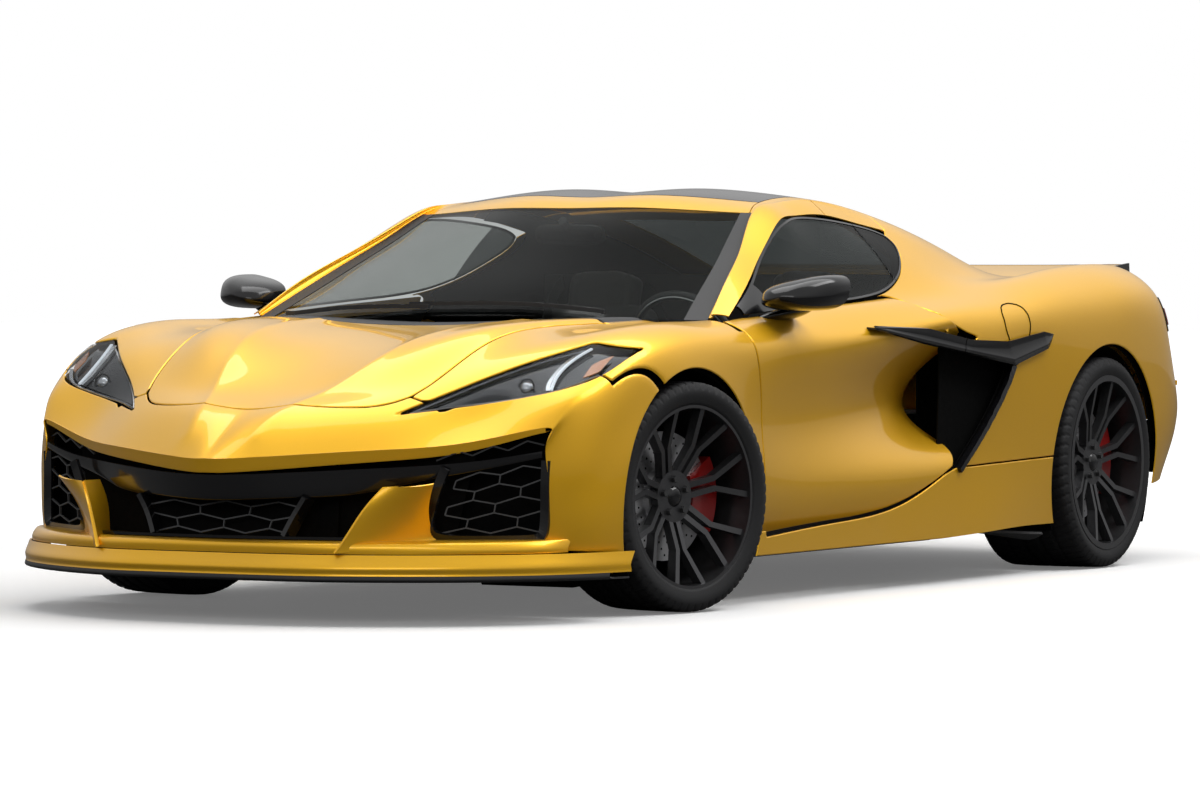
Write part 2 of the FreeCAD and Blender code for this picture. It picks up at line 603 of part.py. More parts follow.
def rim(label, axle, side):
    data = AXLES[axle]
    half = data["rim_half"]
    wall = size("rim_wall")
    barrel = data["rim"]
    lip = data["lip"]
    hub_front = data["hub_front"]
    lip_width = size("rim_lip_width")
    pad = size("hub_thickness")
    body = new_body(label, corner_place(axle, side, size("wheel_clock_angle")))
    ring = [
        (-half, barrel - wall), (-half, lip), (-half + lip_width - SEAM * 2, lip),
        (-half + lip_width - SEAM, barrel), (half - lip_width + SEAM, barrel),
        (half - lip_width + SEAM * 2, lip), (half, lip), (half, barrel - wall),
    ]
    turned(body, sketch_on(body, "XY_Plane", label + "_ring_profile", [ring]), label + "_ring")
    hub = [(hub_front - pad, 0), (hub_front, 0), (hub_front, size("hub_radius")),
           (hub_front - pad, size("hub_radius"))]
    turned(body, sketch_on(body, "XY_Plane", label + "_hub_profile", [hub]), label + "_hub")
    inner = size("hub_radius") - wall
    outer = barrel - wall / 2
    kink = inner + (outer - inner) * SPOKE_KINK_SHARE
    arm = size("spoke_arm_width")
    near = size("spoke_slot_width") / 2
    spread = math.radians(size("spoke_spread_angle"))
    tip_y = outer * math.cos(spread)
    tip_z = outer * math.sin(spread)
    hub_sketch = None
    for sign in (1, -1):
        loop = [
            (inner, sign * near), (kink, sign * near), (tip_y, sign * (tip_z - arm / 2)),
            (tip_y - arm / 4, sign * (tip_z + arm / 2)), (kink, sign * (near + arm)),
            (inner, sign * (near + arm)),
        ]
        name = label + ("_upper_arm" if sign > 0 else "_lower_arm")
        arm_sketch = sketch_on(body, "YZ_Plane", name + "_outline", [loop])
        spoke = padded(body, arm_sketch, name, "spoke_reach", midplane=False)
        round_pattern(body, spoke, arm_sketch, name + "_pattern", "spoke_count")
    depth = size("spoke_depth")
    face = half - size("rim_lip_inset")
    reach = size("spoke_reach")
    front_cut = [(hub_front, 0), (hub_front, size("hub_radius")), (face, barrel - wall),
                 (half, barrel - wall), (half, lip), (half + reach, lip), (half + reach, 0)]
    turned(body, sketch_on(body, "XY_Plane", label + "_dish_profile", [front_cut]), label + "_dish", cut=True)
    back = [(-reach, 0), (-reach, barrel - wall), (face - depth, barrel - wall),
            (hub_front - pad, size("hub_radius")), (hub_front - pad, 0)]
    turned(body, sketch_on(body, "XY_Plane", label + "_back_profile", [back]), label + "_back", cut=True)


def disc(label, axle, side):
    data = AXLES[axle]
    back = data["disc_x"]
    front = back + size("disc_width")
    hub_back = data["hub_front"] - size("hub_thickness")
    bell = size("disc_bell_radius")
    body = new_body(label, corner_place(axle, side))
    profile = [
        (back - data["axle"], 0), (back - data["axle"], size("axle_radius")),
        (back, size("axle_radius")), (back, data["disc"]), (front, data["disc"]), (front, bell),
        (hub_back, bell - size("rim_wall")), (hub_back, 0),
    ]
    turned(body, sketch_on(body, "XY_Plane", label + "_profile", [profile]), label + "_turning")
    return body


def knuckle(label, axle, side):
    """Upright: a bored carrier on an arm that ends in the pins of the ball joints."""
    data = AXLES[axle]
    face = data["disc_x"] - size("caliper_gap")
    back = face - size("knuckle_length")
    bore = size("axle_radius") + size("axle_fit")
    body = new_body(label, corner_place(axle, side))
    ring = [(back, 0), (back, size("knuckle_radius")), (face, size("knuckle_radius")), (face, 0)]
    turned(body, sketch_on(body, "XY_Plane", label + "_carrier_profile", [ring]), label + "_carrier")
    half = size("knuckle_arm_width") / 2
    high = size("kingpin_height")
    centre = -size("kingpin_inset")
    arm = [(-half, -high), (half, -high), (half, high), (-half, high)]
    arm_sketch = sketch_on(body, "YZ_Plane", label + "_arm_outline", [arm], centre)
    padded(body, arm_sketch, label + "_arm", "knuckle_arm_depth")
    pin = [((centre, 0), size("kingpin_radius"))]
    for word, level in (("upper", high), ("lower", -high)):
        pin_sketch = sketch_on(body, "XY_Plane", label + "_" + word + "_pin_outline", pin, level)
        pin_pad = body.newObject("PartDesign::Pad", label + "_" + word + "_pin")
        pin_pad.Profile = pin_sketch
        pin_pad.Length = size("kingpin_length")
        pin_pad.setExpression("Length", "Sizes.kingpin_length")
        pin_pad.Reversed = level < 0
        body.Tip = pin_pad
    behind = min(back, centre - half) - bore
    hole = [(behind, 0), (behind, bore), (face + bore, bore), (face + bore, 0)]
    turned(body, sketch_on(body, "XY_Plane", label + "_bore_profile", [hole]), label + "_bore", cut=True)
    return body


def caliper(label, axle, side, clock):
    """Brake caliper: a bridge over the edge of the disc, seated on the upright."""
    data = AXLES[axle]
    gap = size("caliper_gap")
    wall = size("caliper_wall")
    back = data["disc_x"] - gap
    front = data["disc_x"] + size("disc_width") + gap
    edge = data["disc"] + gap
    top = data["disc"] + size("caliper_rise")
    low = data["disc"] - size("caliper_depth")
    body = new_body(label, corner_place(axle, side, clock))
    profile = [
        (back - wall, size("knuckle_radius")), (back, size("knuckle_radius")), (back, edge), (front, edge),
        (front, low), (front + wall, low), (front + wall, top), (back - wall, top),
    ]
    sketch = sketch_on(body, "XY_Plane", label + "_profile", [profile])
    bridge = turned(body, sketch, label + "_bridge")
    bridge.Midplane = True
    bridge.setExpression("Angle", "Sizes.caliper_angle")
    return body


def wishbone(label, axle, side, level):
    """Suspension arm: an A shape from two pivots on the frame to one ball joint."""
    data = AXLES[axle]
    body = new_body(label)
    outer = data["x"] - size("kingpin_inset")
    inner = size("frame_half_width")
    end = size("wishbone_end")
    root = size("wishbone_root")
    loop = [(side * (outer + end), -end), (side * (outer + end), end), (side * inner, root),
            (side * inner, root - end * 2), (side * (outer - end * 2), 0), (side * inner, end * 2 - root),
            (side * inner, -root)]
    hole = ((side * outer, 0), size("kingpin_radius") + size("kingpin_fit"))
    thick = size("wishbone_thickness")
    height = data["tyre"] + math.copysign(size("kingpin_height") + thick / 2 + SEAM, level)
    body.Placement = FreeCAD.Placement(V(0, data["y"], height), FreeCAD.Rotation())
    sketch = sketch_on(body, "XY_Plane", label + "_outline", [loop, hole])
    padded(body, sketch, label + "_plate", "wishbone_thickness")
    return body


def group(label, pieces):
    """One node of like pieces that do not touch."""
    node = doc.addObject("Part::Compound", label)
    node.Label = label
    node.Links = pieces
    return node


for axle_name in ("front", "rear"):
    for side_name, side in (("left", 1), ("right", -1)):
        where = axle_name + "_" + side_name
        tyre("tyre_" + where, axle_name, side)
        rim("rim_" + where, axle_name, side)
        disc("brake_disc_" + where, axle_name, side)

knuckle("knuckle_left", "front", 1)
knuckle("knuckle_right", "front", -1)
# The clock turns a piece about its own wheel's axis. The calipers sit behind the discs
caliper("caliper_front_left", "front", 1, 0)
caliper("caliper_front_right", "front", -1, 180)
group("rear_knuckles", [knuckle("rear_knuckle_left", "rear", 1), knuckle("rear_knuckle_right", "rear", -1)])
group("rear_calipers", [caliper("rear_caliper_left", "rear", 1, 0), caliper("rear_caliper_right", "rear", -1, 180)])
arms = []
for axle_name in ("front", "rear"):
    for side_name, side in (("left", 1), ("right", -1)):
        for level_name, level in (("upper", 1), ("lower", -1)):
            arms.append(wishbone("_".join(["arm", axle_name, side_name, level_name]), axle_name, side, level))
group("suspension_arms", arms)
doc.recompute()


def tub_pad(body, name, corners, low, alias):
    """Block of the floor's own body, from a plan outline up by a named size."""
    sketch = sketch_on(body, "XY_Plane", name + "_outline", corners, low)
    padded(body, sketch, name, alias, midplane=False)


def rectangle(x0, x1, y0, y1):
    return [(x0, y0), (x1, y0), (x1, y1), (x0, y1)]


def mirrored_rectangles(x0, x1, y0, y1):
    return [rectangle(x0, x1, y0, y1), rectangle(-x1, -x0, y0, y1)]


FLOOR_LOW = size("floor_height")
FLOOR_TOP = FLOOR_LOW + size("floor_thick")
RAIL_OUT = size("frame_half_width")
RAIL_IN = RAIL_OUT - size("rail_width")
FIREWALL_Y = FRONT_Y + size("firewall_setback")
BULKHEAD_Y = REAR_Y - size("bulkhead_advance")
NOSE_Y = along(-1) + size("frame_front_inset")
TAIL_Y = along(2) - size("frame_rear_inset")
SILL_OUT = size("sill_half_width")

tub = new_body("floor_tub")
floor_outline = [
    (-RAIL_OUT, NOSE_Y), (RAIL_OUT, NOSE_Y), (RAIL_OUT, FIREWALL_Y), (SILL_OUT, FIREWALL_Y),
    (SILL_OUT, BULKHEAD_Y), (RAIL_OUT, BULKHEAD_Y), (RAIL_OUT, TAIL_Y), (-RAIL_OUT, TAIL_Y),
    (-RAIL_OUT, BULKHEAD_Y), (-SILL_OUT, BULKHEAD_Y), (-SILL_OUT, FIREWALL_Y), (-RAIL_OUT, FIREWALL_Y),
]
tub_pad(tub, "floor_plate", [floor_outline], FLOOR_LOW, "floor_thick")
wall = size("wall_thick")
tub_pad(tub, "firewall", [rectangle(-SILL_OUT, SILL_OUT, FIREWALL_Y, FIREWALL_Y + wall)], FLOOR_TOP, "firewall_height")
BULKHEAD_OUT = size("bulkhead_half_width")
bulkhead = [rectangle(-BULKHEAD_OUT, BULKHEAD_OUT, BULKHEAD_Y - wall, BULKHEAD_Y)]
tub_pad(tub, "bulkhead", bulkhead, FLOOR_TOP, "bulkhead_height")
sills = mirrored_rectangles(SILL_OUT - size("sill_width"), SILL_OUT, FIREWALL_Y, BULKHEAD_Y)
tub_pad(tub, "sills", sills, FLOOR_TOP, "sill_height")
half_tunnel = size("tunnel_half_width")
tub_pad(tub, "tunnel", [rectangle(-half_tunnel, half_tunnel, FIREWALL_Y, BULKHEAD_Y)], FLOOR_TOP, "tunnel_height")
front_rails = mirrored_rectangles(RAIL_IN, RAIL_OUT, NOSE_Y, FIREWALL_Y)
tub_pad(tub, "front_rails", front_rails, FLOOR_TOP, "rail_height")
rear_rails = mirrored_rectangles(RAIL_IN, RAIL_OUT, BULKHEAD_Y, TAIL_Y)
tub_pad(tub, "rear_rails", rear_rails, FLOOR_TOP, "rail_height")
shaft_hole = [((REAR_Y, size("rear_tyre_radius")), size("shaft_room"))]
shaft_sketch = sketch_on(tub, "YZ_Plane", "shaft_hole_outline", shaft_hole)
padded(tub, shaft_sketch, "shaft_holes", "dash_width", cut=True)


def block(label, x_range, y_range, low, alias):
    """Plain block of one body: a plan rectangle padded up by a named height."""
    body = new_body(label)
    tub_pad(body, label + "_pad", [rectangle(*x_range, *y_range)], low, alias)
    return body


engine_out = size("engine_half_width")
engine_front = BULKHEAD_Y + size("engine_gap")
engine_rear = engine_front + size("engine_length")
engine = block("engine_block", (-engine_out, engine_out), (engine_front, engine_rear), FLOOR_TOP, "engine_height")
gearbox_out = size("gearbox_half_width")
gearbox = rectangle(-gearbox_out, gearbox_out, engine_rear, engine_rear + size("gearbox_length"))
tub_pad(engine, "gearbox", [gearbox], FLOOR_TOP, "gearbox_height")


def seat(label, side):
    """Bucket seat: cushion, leaning back and headrest, one side outline padded across."""
    low = FLOOR_TOP + SEAM
    front = BULKHEAD_Y - wall - size("seat_length") - size("seat_lean")
    rear = BULKHEAD_Y - wall - size("seat_lean")
    lean = size("seat_lean") - size("seat_back_gap")
    top = low + size("seat_back_height")
    depth = size("seat_back_depth")
    cushion = low + size("seat_cushion")
    body = new_body(label)
    loop = [(front, low), (rear, low), (rear + lean, top), (rear + lean - depth / 2, top),
            (rear - depth, cushion), (front, cushion)]
    sketch = sketch_on(body, "YZ_Plane", label + "_outline", [loop], side * size("seat_centre"))
    padded(body, sketch, label + "_pad", "seat_width")
    return body


group("seats", [seat("seat_left", 1), seat("seat_right", -1)])

COWL_Z = FLOOR_TOP + size("firewall_height")
dash_out = size("dash_half_width")
dash_back = FIREWALL_Y + wall + size("dash_depth")
dash = new_body("dashboard")
dash_low = COWL_Z - size("dash_height")
dash_loop = [(FIREWALL_Y + wall, dash_low), (dash_back - size("dash_lip"), dash_low), (dash_back, dash_low + size("dash_lip")),
             (dash_back - size("dash_lip"), COWL_Z), (FIREWALL_Y + wall, COWL_Z)]
padded(dash, sketch_on(dash, "YZ_Plane", "dash_outline", [dash_loop]), "dash_pad", "dash_width")

console = block("centre_console", (-half_tunnel, half_tunnel), (dash_back - size("dash_lip"), BULKHEAD_Y - wall),
                FLOOR_TOP + size("tunnel_height"), "console_height")

# The doors' outer walls follow the front net, as thick as the whole door
skin = size("skin")
lid = size("lid_skin")
glass = size("glass_thick")
door_thick = size("door_thick")
front_arch = arch(FRONT_Y + size("front_arch_shift"), size("front_arch_radius"), size("front_arch_height"))
rear_arch = arch(REAR_Y + size("rear_arch_shift"), size("rear_arch_radius"), size("rear_arch_height"))
hood_zone = plan_prism(plan_view(HOOD_SHARES), 0, SKY)
fascia_zone = plan_prism(plan_view(FASCIA_SHARES), 0, SKY)
lamp_zone = front_prism(front_view(LAMP_SHARES), along(-1.1), FRONT_Y)
door_zone = side_prism(side_view(DOOR_SHARES), 0, SIDE_REACH)
rail_zone = side_prism(side_view(RAIL_SHARES), 0, SIDE_REACH)
pillar_foot = side_prism(side_view(PILLAR_FOOT_SHARES), 0, SIDE_REACH)
window_zone = side_prism(side_view(WINDOW_SHARES), 0, SIDE_REACH)
skirt_zone = side_prism(side_view(SKIRT_SHARES), 0, SIDE_REACH)
intake_zone = side_prism(side_view(INTAKE_SHARES), 0, SIDE_REACH)
glass_split = Part.makeBox(SIDE_REACH, along(GLASS_SPLIT_SHARE) - along(-1), SKY, V(0, along(-1), 0))

hood_wall = panel(FRONT, (1, 7.1), (-3, 3), lid, (20, 16))
hood_shape = largest(hood_wall.common(plan_prism(plan_view(HOOD_SHARES, -GAP), 0, SKY)))

fascia_wall = panel(FRONT, (0, 5.5), (-9, 9), skin, (16, 48))
fascia_shape = fascia_wall.common(fascia_zone).cut([hood_zone, lamp_zone, mirrored(lamp_zone)])
fascia_shape = largest(fascia_shape.cut([front_arch, mirrored(front_arch)]))
keep("front_fascia", fascia_shape)

lamp_wall = panel(FRONT, (0.2, 5.5), (1, 6), size("lamp_depth"), (16, 14))
keep("headlamps", both(largest(lamp_wall.common(lamp_zone))))

fender_wall = panel(FRONT, (1.5, 9), (2, 9), size("fender_skin"), (20, 22))
windshield = panel(REAR, (0, 4), (-2, 2), glass, (12, 16))
fender_shape = fender_wall.cut([fascia_zone, hood_zone, lamp_zone, door_zone, front_arch, skirt_zone, pillar_foot])
fender_shape = largest(fender_shape.cut(windshield))
keep("front_fenders", both(fender_shape))

door_wall = slab(FRONT, (7.2, 13), (3.9, 9), V(-door_thick, 0, 0))
door_shape = largest(door_wall.common(side_prism(side_view(DOOR_SHARES, -GAP), 0, SIDE_REACH)))

glass_wall = panel(REAR, (0.4, 8.3), (4.12, 6.4), glass, (22, 10))
pane = glass_wall.common(window_zone).cut(side_prism(side_view(DOOR_SHARES, SEAM - GAP), 0, SIDE_REACH))
door_pane = largest(pane.common(glass_split))
quarter_pane = largest(pane.cut(glass_split.translated(V(0, SEAM * 2, 0))))
keep("fixed_glass", Part.makeCompound([windshield, quarter_pane, mirrored(quarter_pane)]))
keep("roof_panel", panel(REAR, (5.01, 7.19), (-1.99, 1.99), skin, (8, 16)))

rail_depth = size("rail_depth")
rail_wall = panel(REAR, (0.1, 8.6), (2.003, 4.04), rail_depth, (28, 8))
rail_front = Part.makeBox(SIDE_REACH, along(.52) - along(-1), SKY, V(0, along(-1), 0))
rail_shape = rail_wall.common(rail_front.fuse(rail_zone))
# The foot of the pillar is thin and ends above the door's shoulder, so that the door can swing
foot_hollow = panel(REAR, (-.6, 1.4), (1.6, 4.4), rail_depth * 2, (8, 10), skin)
foot_end = Part.makeBox(SIDE_REACH, size("foot_length"), size("foot_z"), V(0, size("door_axis_y") - size("foot_length") / 2, 0))
rail_shape = largest(rail_shape.cut([foot_hollow, foot_end]))


def upright_box(x_range, y_range, z_range):
    corner = V(x_range[0], y_range[0], z_range[0])
    return Part.makeBox(x_range[1] - x_range[0], y_range[1] - y_range[0], z_range[1] - z_range[0], corner)


def rod(radius, length, centre, axis):
    """Cylinder given by the middle of its axis."""
    return Part.makeCylinder(radius, length, centre - axis * (length / 2), axis)


PIN = size("hinge_pin_radius")
BORE = PIN + size("hinge_pin_fit")
BOSS = size("hinge_boss")
PLATE = size("hinge_plate")
LUG_GAP = size("lug_side_gap")
CLEAR = size("hinge_clear")
UP = V(0, 0, 1)
ACROSS = V(1, 0, 0)

# Doors: two plates on the firewall's side, each with an upright pin in the door's bores
door_hinges = []
door_cuts = []
for level in (size("door_hinge_low"), size("door_hinge_high")):
    axis_x = size("door_axis_x")
    axis_y = size("door_axis_y")
    middle = V(axis_x, axis_y, level)
    plate_box = upright_box((SILL_OUT, axis_x), (axis_y - BOSS, axis_y + BOSS), (level - PLATE / 2, level + PLATE / 2))
    boss = rod(BOSS, PLATE, middle, UP)
    pin = rod(PIN, size("door_pin_length"), middle, UP)
    door_hinges.append(plate_box.fuse([boss, pin]))
    room = PLATE / 2 + LUG_GAP
    door_cuts.append(upright_box((0, axis_x + CLEAR), (along(-1), axis_y + CLEAR), (level - room, level + room)))
    door_cuts.append(rod(BORE, size("door_pin_length") + LUG_GAP, middle, UP))


def lid_hinge(x, y, z, root, reach, rise):
    """Pin that points away from the middle of the car, and the lid's lug that turns on it."""
    pin = rod(PIN, PLATE + LUG_GAP * 2, V(x + PLATE / 2 + LUG_GAP, y, z), ACROSS)
    near = x + LUG_GAP
    half = size("lug_height") / 2
    bar = upright_box((near, near + PLATE), (min(y, y + reach), max(y, y + reach)), (z - half, z + half))
    foot_y = sorted((y + reach, y + reach - math.copysign(root, reach)))
    foot = upright_box((near, near + PLATE), foot_y, (z - half, z + rise))
    eye = rod(half, PLATE, V(near + PLATE / 2, y, z), ACROSS)
    lug = bar.fuse([foot, eye]).cut(rod(BORE, PLATE * 3, V(near, y, z), ACROSS))
    slot_y = (y - CLEAR, y + OVERRUN) if reach > 0 else (y - OVERRUN, y + CLEAR)
    slot = upright_box((near - LUG_GAP, near + PLATE + LUG_GAP), slot_y, (z - BOSS, SKY))
    return pin, lug, slot


# Hood: posts on the front rails. The pins lie below the cowl, behind the hood's edge
hood_x = size("hood_hinge_x") + size("hinge_boss")
hood_y = size("hood_axis_y")
hood_z = size("hood_axis_z")
hood_pin, hood_lug, hood_slot = lid_hinge(
    hood_x, hood_y, hood_z, size("hood_lug_root"), -size("hood_lug_reach"), size("hood_lug_rise"))
post_y = size("hood_post_length") / 2
rail_top = FLOOR_TOP + size("rail_height")
hood_post = upright_box((hood_x - size("hinge_post_width"), hood_x), (hood_y - post_y, hood_y + post_y), (rail_top, hood_z + BOSS))
hinge_pieces = door_hinges + [hood_post.fuse(hood_pin)]
keep("hinge_brackets", Part.makeCompound(hinge_pieces + [mirrored(piece) for piece in hinge_pieces]))
hood_shape = hood_shape.fuse([hood_lug, mirrored(hood_lug)])

COWL_SHARES = whole_width([
    [(0, .0125), (.30, .0205), (.60, .0475)],
    [(.60, .0475), (.625, .118)],
    [(.625, .118), (.35, .078), (0, .056)],
])
cowl_wall = panel(FRONT, (6, 9.4), (-3, 3), size("fender_skin"), (12, 16))
cowl_shape = cowl_wall.common(plan_prism(plan_view(COWL_SHARES), 0, SKY)).cut([hood_slot, mirrored(hood_slot)])

header = panel(REAR, (4.003, 4.985), (-1.997, 1.997), rail_depth, (4, 16))
bow = panel(REAR, (7.203, 7.68), (-1.997, 1.997), rail_depth, (3, 16))
hatch_x = size("hatch_hinge_x") + size("hinge_boss")
hatch_y = size("hatch_axis_y")
hatch_z = size("hatch_axis_z")
hatch_pin, hatch_lug, hatch_slot = lid_hinge(
    hatch_x, hatch_y, hatch_z, size("hatch_lug_root"), size("hatch_lug_reach"), size("hatch_lug_rise"))
hatch_post = upright_box((hatch_x - BOSS * 2, hatch_x), (hatch_y - BOSS, hatch_y + BOSS), (hatch_z - BOSS, hatch_z + BOSS * 3))
hatch_mount = hatch_post.fuse(hatch_pin)
bow = bow.cut([hatch_slot, mirrored(hatch_slot)]).fuse([hatch_mount, mirrored(hatch_mount)])
keep("cabin_frame", Part.makeCompound([header, largest(bow), rail_shape, mirrored(rail_shape)]))
cowl_shape = largest(cowl_shape.cut([windshield, fender_shape, mirrored(fender_shape)]))
keep("cowl", cowl_shape)
beam_y = (FIREWALL_Y - size("beam_depth"), FIREWALL_Y)
beam_z = (FLOOR_TOP + size("firewall_height") - size("beam_drop"), size("beam_top"))
cowl_beam = upright_box((-size("beam_half_width"), size("beam_half_width")), beam_y, beam_z)
rise = size("beam_room")
glass_room = panel(REAR, (-.6, 1.6), (-2.4, 2.4), rise + glass + SEAM, (8, 14), -rise)
cowl_room = panel(FRONT, (6, 9.4), (-3, 3), rise + size("fender_skin") + SEAM, (10, 16), -rise)
cowl_beam = cowl_beam.cut([glass_room, cowl_room, windshield, cowl_shape, rail_shape, mirrored(rail_shape)])
cowl_beam = largest(cowl_beam.cut([fender_shape, mirrored(fender_shape)]))
nose_beam = upright_box((-RAIL_OUT, RAIL_OUT), (along(-1) + size("nose_beam_setback"), NOSE_Y), (rail_top - size("nose_beam_depth"), rail_top))
nose_beam = max(nose_beam.cut(fascia_shape).Solids, key=lambda solid: solid.BoundBox.YMax)
keep("body_beams", Part.makeCompound([cowl_beam, nose_beam]))

# Sides: black blades over the intakes, cut where the door ends
BLADE_SHARES = [
    [(.394, .803), (.519, .793), (.624, .757)],
    [(.624, .757), (.709, .748)],
    [(.709, .748), (.801, .773), (.830, .766)],
    [(.830, .766), (.820, .732), (.733, .677)],
    [(.733, .677), (.652, .716)],
    [(.652, .716), (.559, .720), (.478, .756), (.394, .803)],
]
blade_zone = prism(side_view(BLADE_SHARES), V(HALF_WIDTH * .93, 0, 0), V(HALF_WIDTH * .065, 0, 0))
door_blade = largest(blade_zone.common(side_prism(side_view(DOOR_SHARES, -GAP), 0, SIDE_REACH)))
root_blade = largest(blade_zone.cut(door_zone))

quarter_wall = panel(REAR, (6.9, 17), (2, 11), skin, (34, 30))
quarter_shape = quarter_wall.cut([rail_zone, window_zone, door_zone, skirt_zone, intake_zone, rear_arch])
quarter_shape = largest(quarter_shape.cut(root_blade))
keep("rear_quarters", both(quarter_shape))

skirt_wall = panel(REAR, (-.35, 12), (9, 11.6), skin, (34, 8))
skirt_shape = largest(skirt_wall.common(skirt_zone).cut([front_arch, rear_arch, door_zone]))
keep("side_skirts", both(skirt_shape))

hatch_shape = panel(REAR, (7.72, 13), (-1.97, 1.97), lid, (20, 16))
hatch_hole = panel(REAR, (8.2, 11.4), (-1.5, 1.5), lid * 3, (14, 12), -lid)
hatch_frame = hatch_shape.cut(hatch_hole)
hatch_pane = panel(REAR, (8.2, 11.4), (-1.5, 1.5), glass, (14, 12), SEAM)
deck = panel(REAR, (13.05, 17), (-1.985, 1.985), skin, (12, 16))
keep("rear_deck", deck)

keep("hood", largest(hood_shape))
keep("rear_hatch", largest(hatch_frame.fuse([hatch_lug, mirrored(hatch_lug)])))
keep("hatch_glass", hatch_pane)


def face_net(profiles):
    """Net from profiles: each is a list of points, as shares, from its first edge."""
    return [[place(*point) for point in profile] for profile in profiles]


def ruled(sections):
    """Solid through flat outlines of straight edges, given as shares."""
    wires = []
    for section in sections:
        points = [place(*point) for point in section]
        wires.append(Part.makePolygon(points + points[:1]))
    solid = Part.makeLoft(wires, True, True)
    if solid.Volume < 0:
        solid.reverse()
    return solid


# Front: grille bar below the beak, shelf, strakes, splitter and meshes
BAR_PROFILES = face_net([
    [(0, -.972, .341), (0, -.980, .38), (0, -.986, .415)],
    [(.20, -.930, .345), (.20, -.937, .385), (.20, -.942, .42)],
    [(.38, -.848, .356), (.38, -.854, .395), (.38, -.858, .43)],
    [(.52, -.770, .385), (.52, -.773, .415), (.52, -.776, .443)],
    [(.68, -.690, .415), (.68, -.692, .437), (.68, -.693, .459)],
    [(.84, -.597, .455), (.84, -.597, .468), (.84, -.597, .481)],
])
grille_bar = largest(panel(BAR_PROFILES, (0, 2), (-5, 5), skin, (4, 30)).cut(fascia_shape))
keep("grille_bar", grille_bar)

SHELF_PROFILES = face_net([
    [(0, -.975, .196), (0, -.976, .213), (0, -.965, .229), (0, -.86, .235)],
    [(.20, -.971, .196), (.20, -.972, .213), (.20, -.960, .229), (.20, -.85, .235)],
    [(.38, -.943, .196), (.38, -.944, .213), (.38, -.930, .229), (.38, -.82, .235)],
    [(.60, -.853, .196), (.60, -.853, .213), (.60, -.840, .229), (.60, -.74, .235)],
    [(.80, -.713, .196), (.80, -.713, .213), (.80, -.705, .229), (.80, -.64, .235)],
])
shelf = panel(SHELF_PROFILES, (0, 3), (-4, 4), skin, (9, 32))

LIP_PLAN_SHARES = [(0, -.997), (.20, -.993), (.38, -.965), (.60, -.875), (.80, -.735), (.92, -.575), (.985, -.40)]
LIP_STEP_SHARES = [(.03, .116), (.006, .122), (0, .156), (.022, .1955)]
LIP_PROFILES = face_net([[(x, y + dy, z) for dy, z in LIP_STEP_SHARES] for x, y in LIP_PLAN_SHARES])
front_lip = panel(LIP_PROFILES, (0, 3), (-6, 6), skin, (9, 48))
keep("front_lip", front_lip)

centre_mesh = ruled([
    [(-.36, -.915, .235), (.36, -.915, .235), (.36, -.915 + .02, .235), (-.36, -.915 + .02, .235)],
    [(-.26, -.895, .345), (.26, -.895, .345), (.26, -.895 + .02, .345), (-.26, -.895 + .02, .345)],
])
side_mesh = ruled([
    [(.56, -.72, .235), (.80, -.58, .235), (.80, -.56, .235), (.56, -.70, .235)],
    [(.62, -.70, .49), (.815, -.57, .49), (.815, -.55, .49), (.62, -.68, .49)],
])

strake = ruled([
    [(.39, -.945, .232), (.54, -.80, .232), (.52, -.70, .232), (.40, -.80, .232)],
    [(.50, -.82, .37), (.62, -.745, .37), (.60, -.66, .37), (.51, -.72, .37)],
])
front_shelf = shelf.fuse([strake, mirrored(strake)]).cut([front_lip, fascia_shape])
keep("front_shelf", largest(front_shelf))
meshes = [largest(mesh.cut([front_shelf, fascia_shape, grille_bar])) for mesh in (centre_mesh, side_mesh)]
keep("grille_meshes", Part.makeCompound(meshes + [mirrored(meshes[1])]))

door_shape = largest(door_shape.cut([door_blade] + door_cuts))

# Rear: fascia, diffuser, lamps, spoiler and tail pipes
TAIL_PROFILES = face_net([
    [(0, 1.985, .935), (0, 1.95, .83), (0, 1.97, .69), (0, 1.99, .56), (0, 1.93, .43), (0, 1.86, .30)],
    [(.40, 1.975, .935), (.40, 1.945, .83), (.40, 1.96, .69), (.40, 1.98, .56), (.40, 1.92, .43), (.40, 1.85, .30)],
    [(.66, 1.88, .93), (.68, 1.88, .82), (.70, 1.91, .69), (.71, 1.93, .56), (.70, 1.88, .43), (.68, 1.79, .30)],
    [(.79, 1.675, .885), (.87, 1.685, .80), (.905, 1.765, .68), (.92, 1.815, .56), (.915, 1.805, .43), (.89, 1.675, .29)],
])
rear_fascia = panel(TAIL_PROFILES, (0, 5), (-3, 3), skin, (15, 30))
pipe_radius = size("pipe_radius")
pipe_middle = V(size("pipe_x"), size("pipe_end_y") - size("pipe_length") / 2, size("pipe_z"))
BACK = V(0, 1, 0)
pipe_hole = rod(pipe_radius + SEAM, size("pipe_length") * 2, pipe_middle, BACK)
pipe = rod(pipe_radius, size("pipe_length"), pipe_middle, BACK)
pipe = pipe.cut(rod(pipe_radius - size("pipe_wall"), size("pipe_length") * 2, pipe_middle, BACK))
keep("exhaust_tips", both(pipe))
rear_fascia = rear_fascia.cut([pipe_hole, mirrored(pipe_hole), deck, quarter_shape, mirrored(quarter_shape)])
keep("rear_fascia", largest(rear_fascia))
tail_lamp = panel(TAIL_PROFILES, (.35, .95), (2.1, 2.9), size("glass_thick"), (6, 8), -size("glass_thick") - SEAM)
keep("tail_lamps", both(tail_lamp))
diffuser = ruled([
    [(-.60, 1.531, .13), (.60, 1.531, .13), (.60, 1.531, .26), (-.60, 1.531, .26)],
    [(-.55, 1.84, .20), (.55, 1.84, .20), (.55, 1.84, .29), (-.55, 1.84, .29)],
])
keep("rear_diffuser", diffuser)
keep("rear_spoiler", panel(REAR, (15.3, 17), (-3.2, 3.2), size("spoiler_thick"), (6, 20), -size("spoiler_thick") - SEAM))

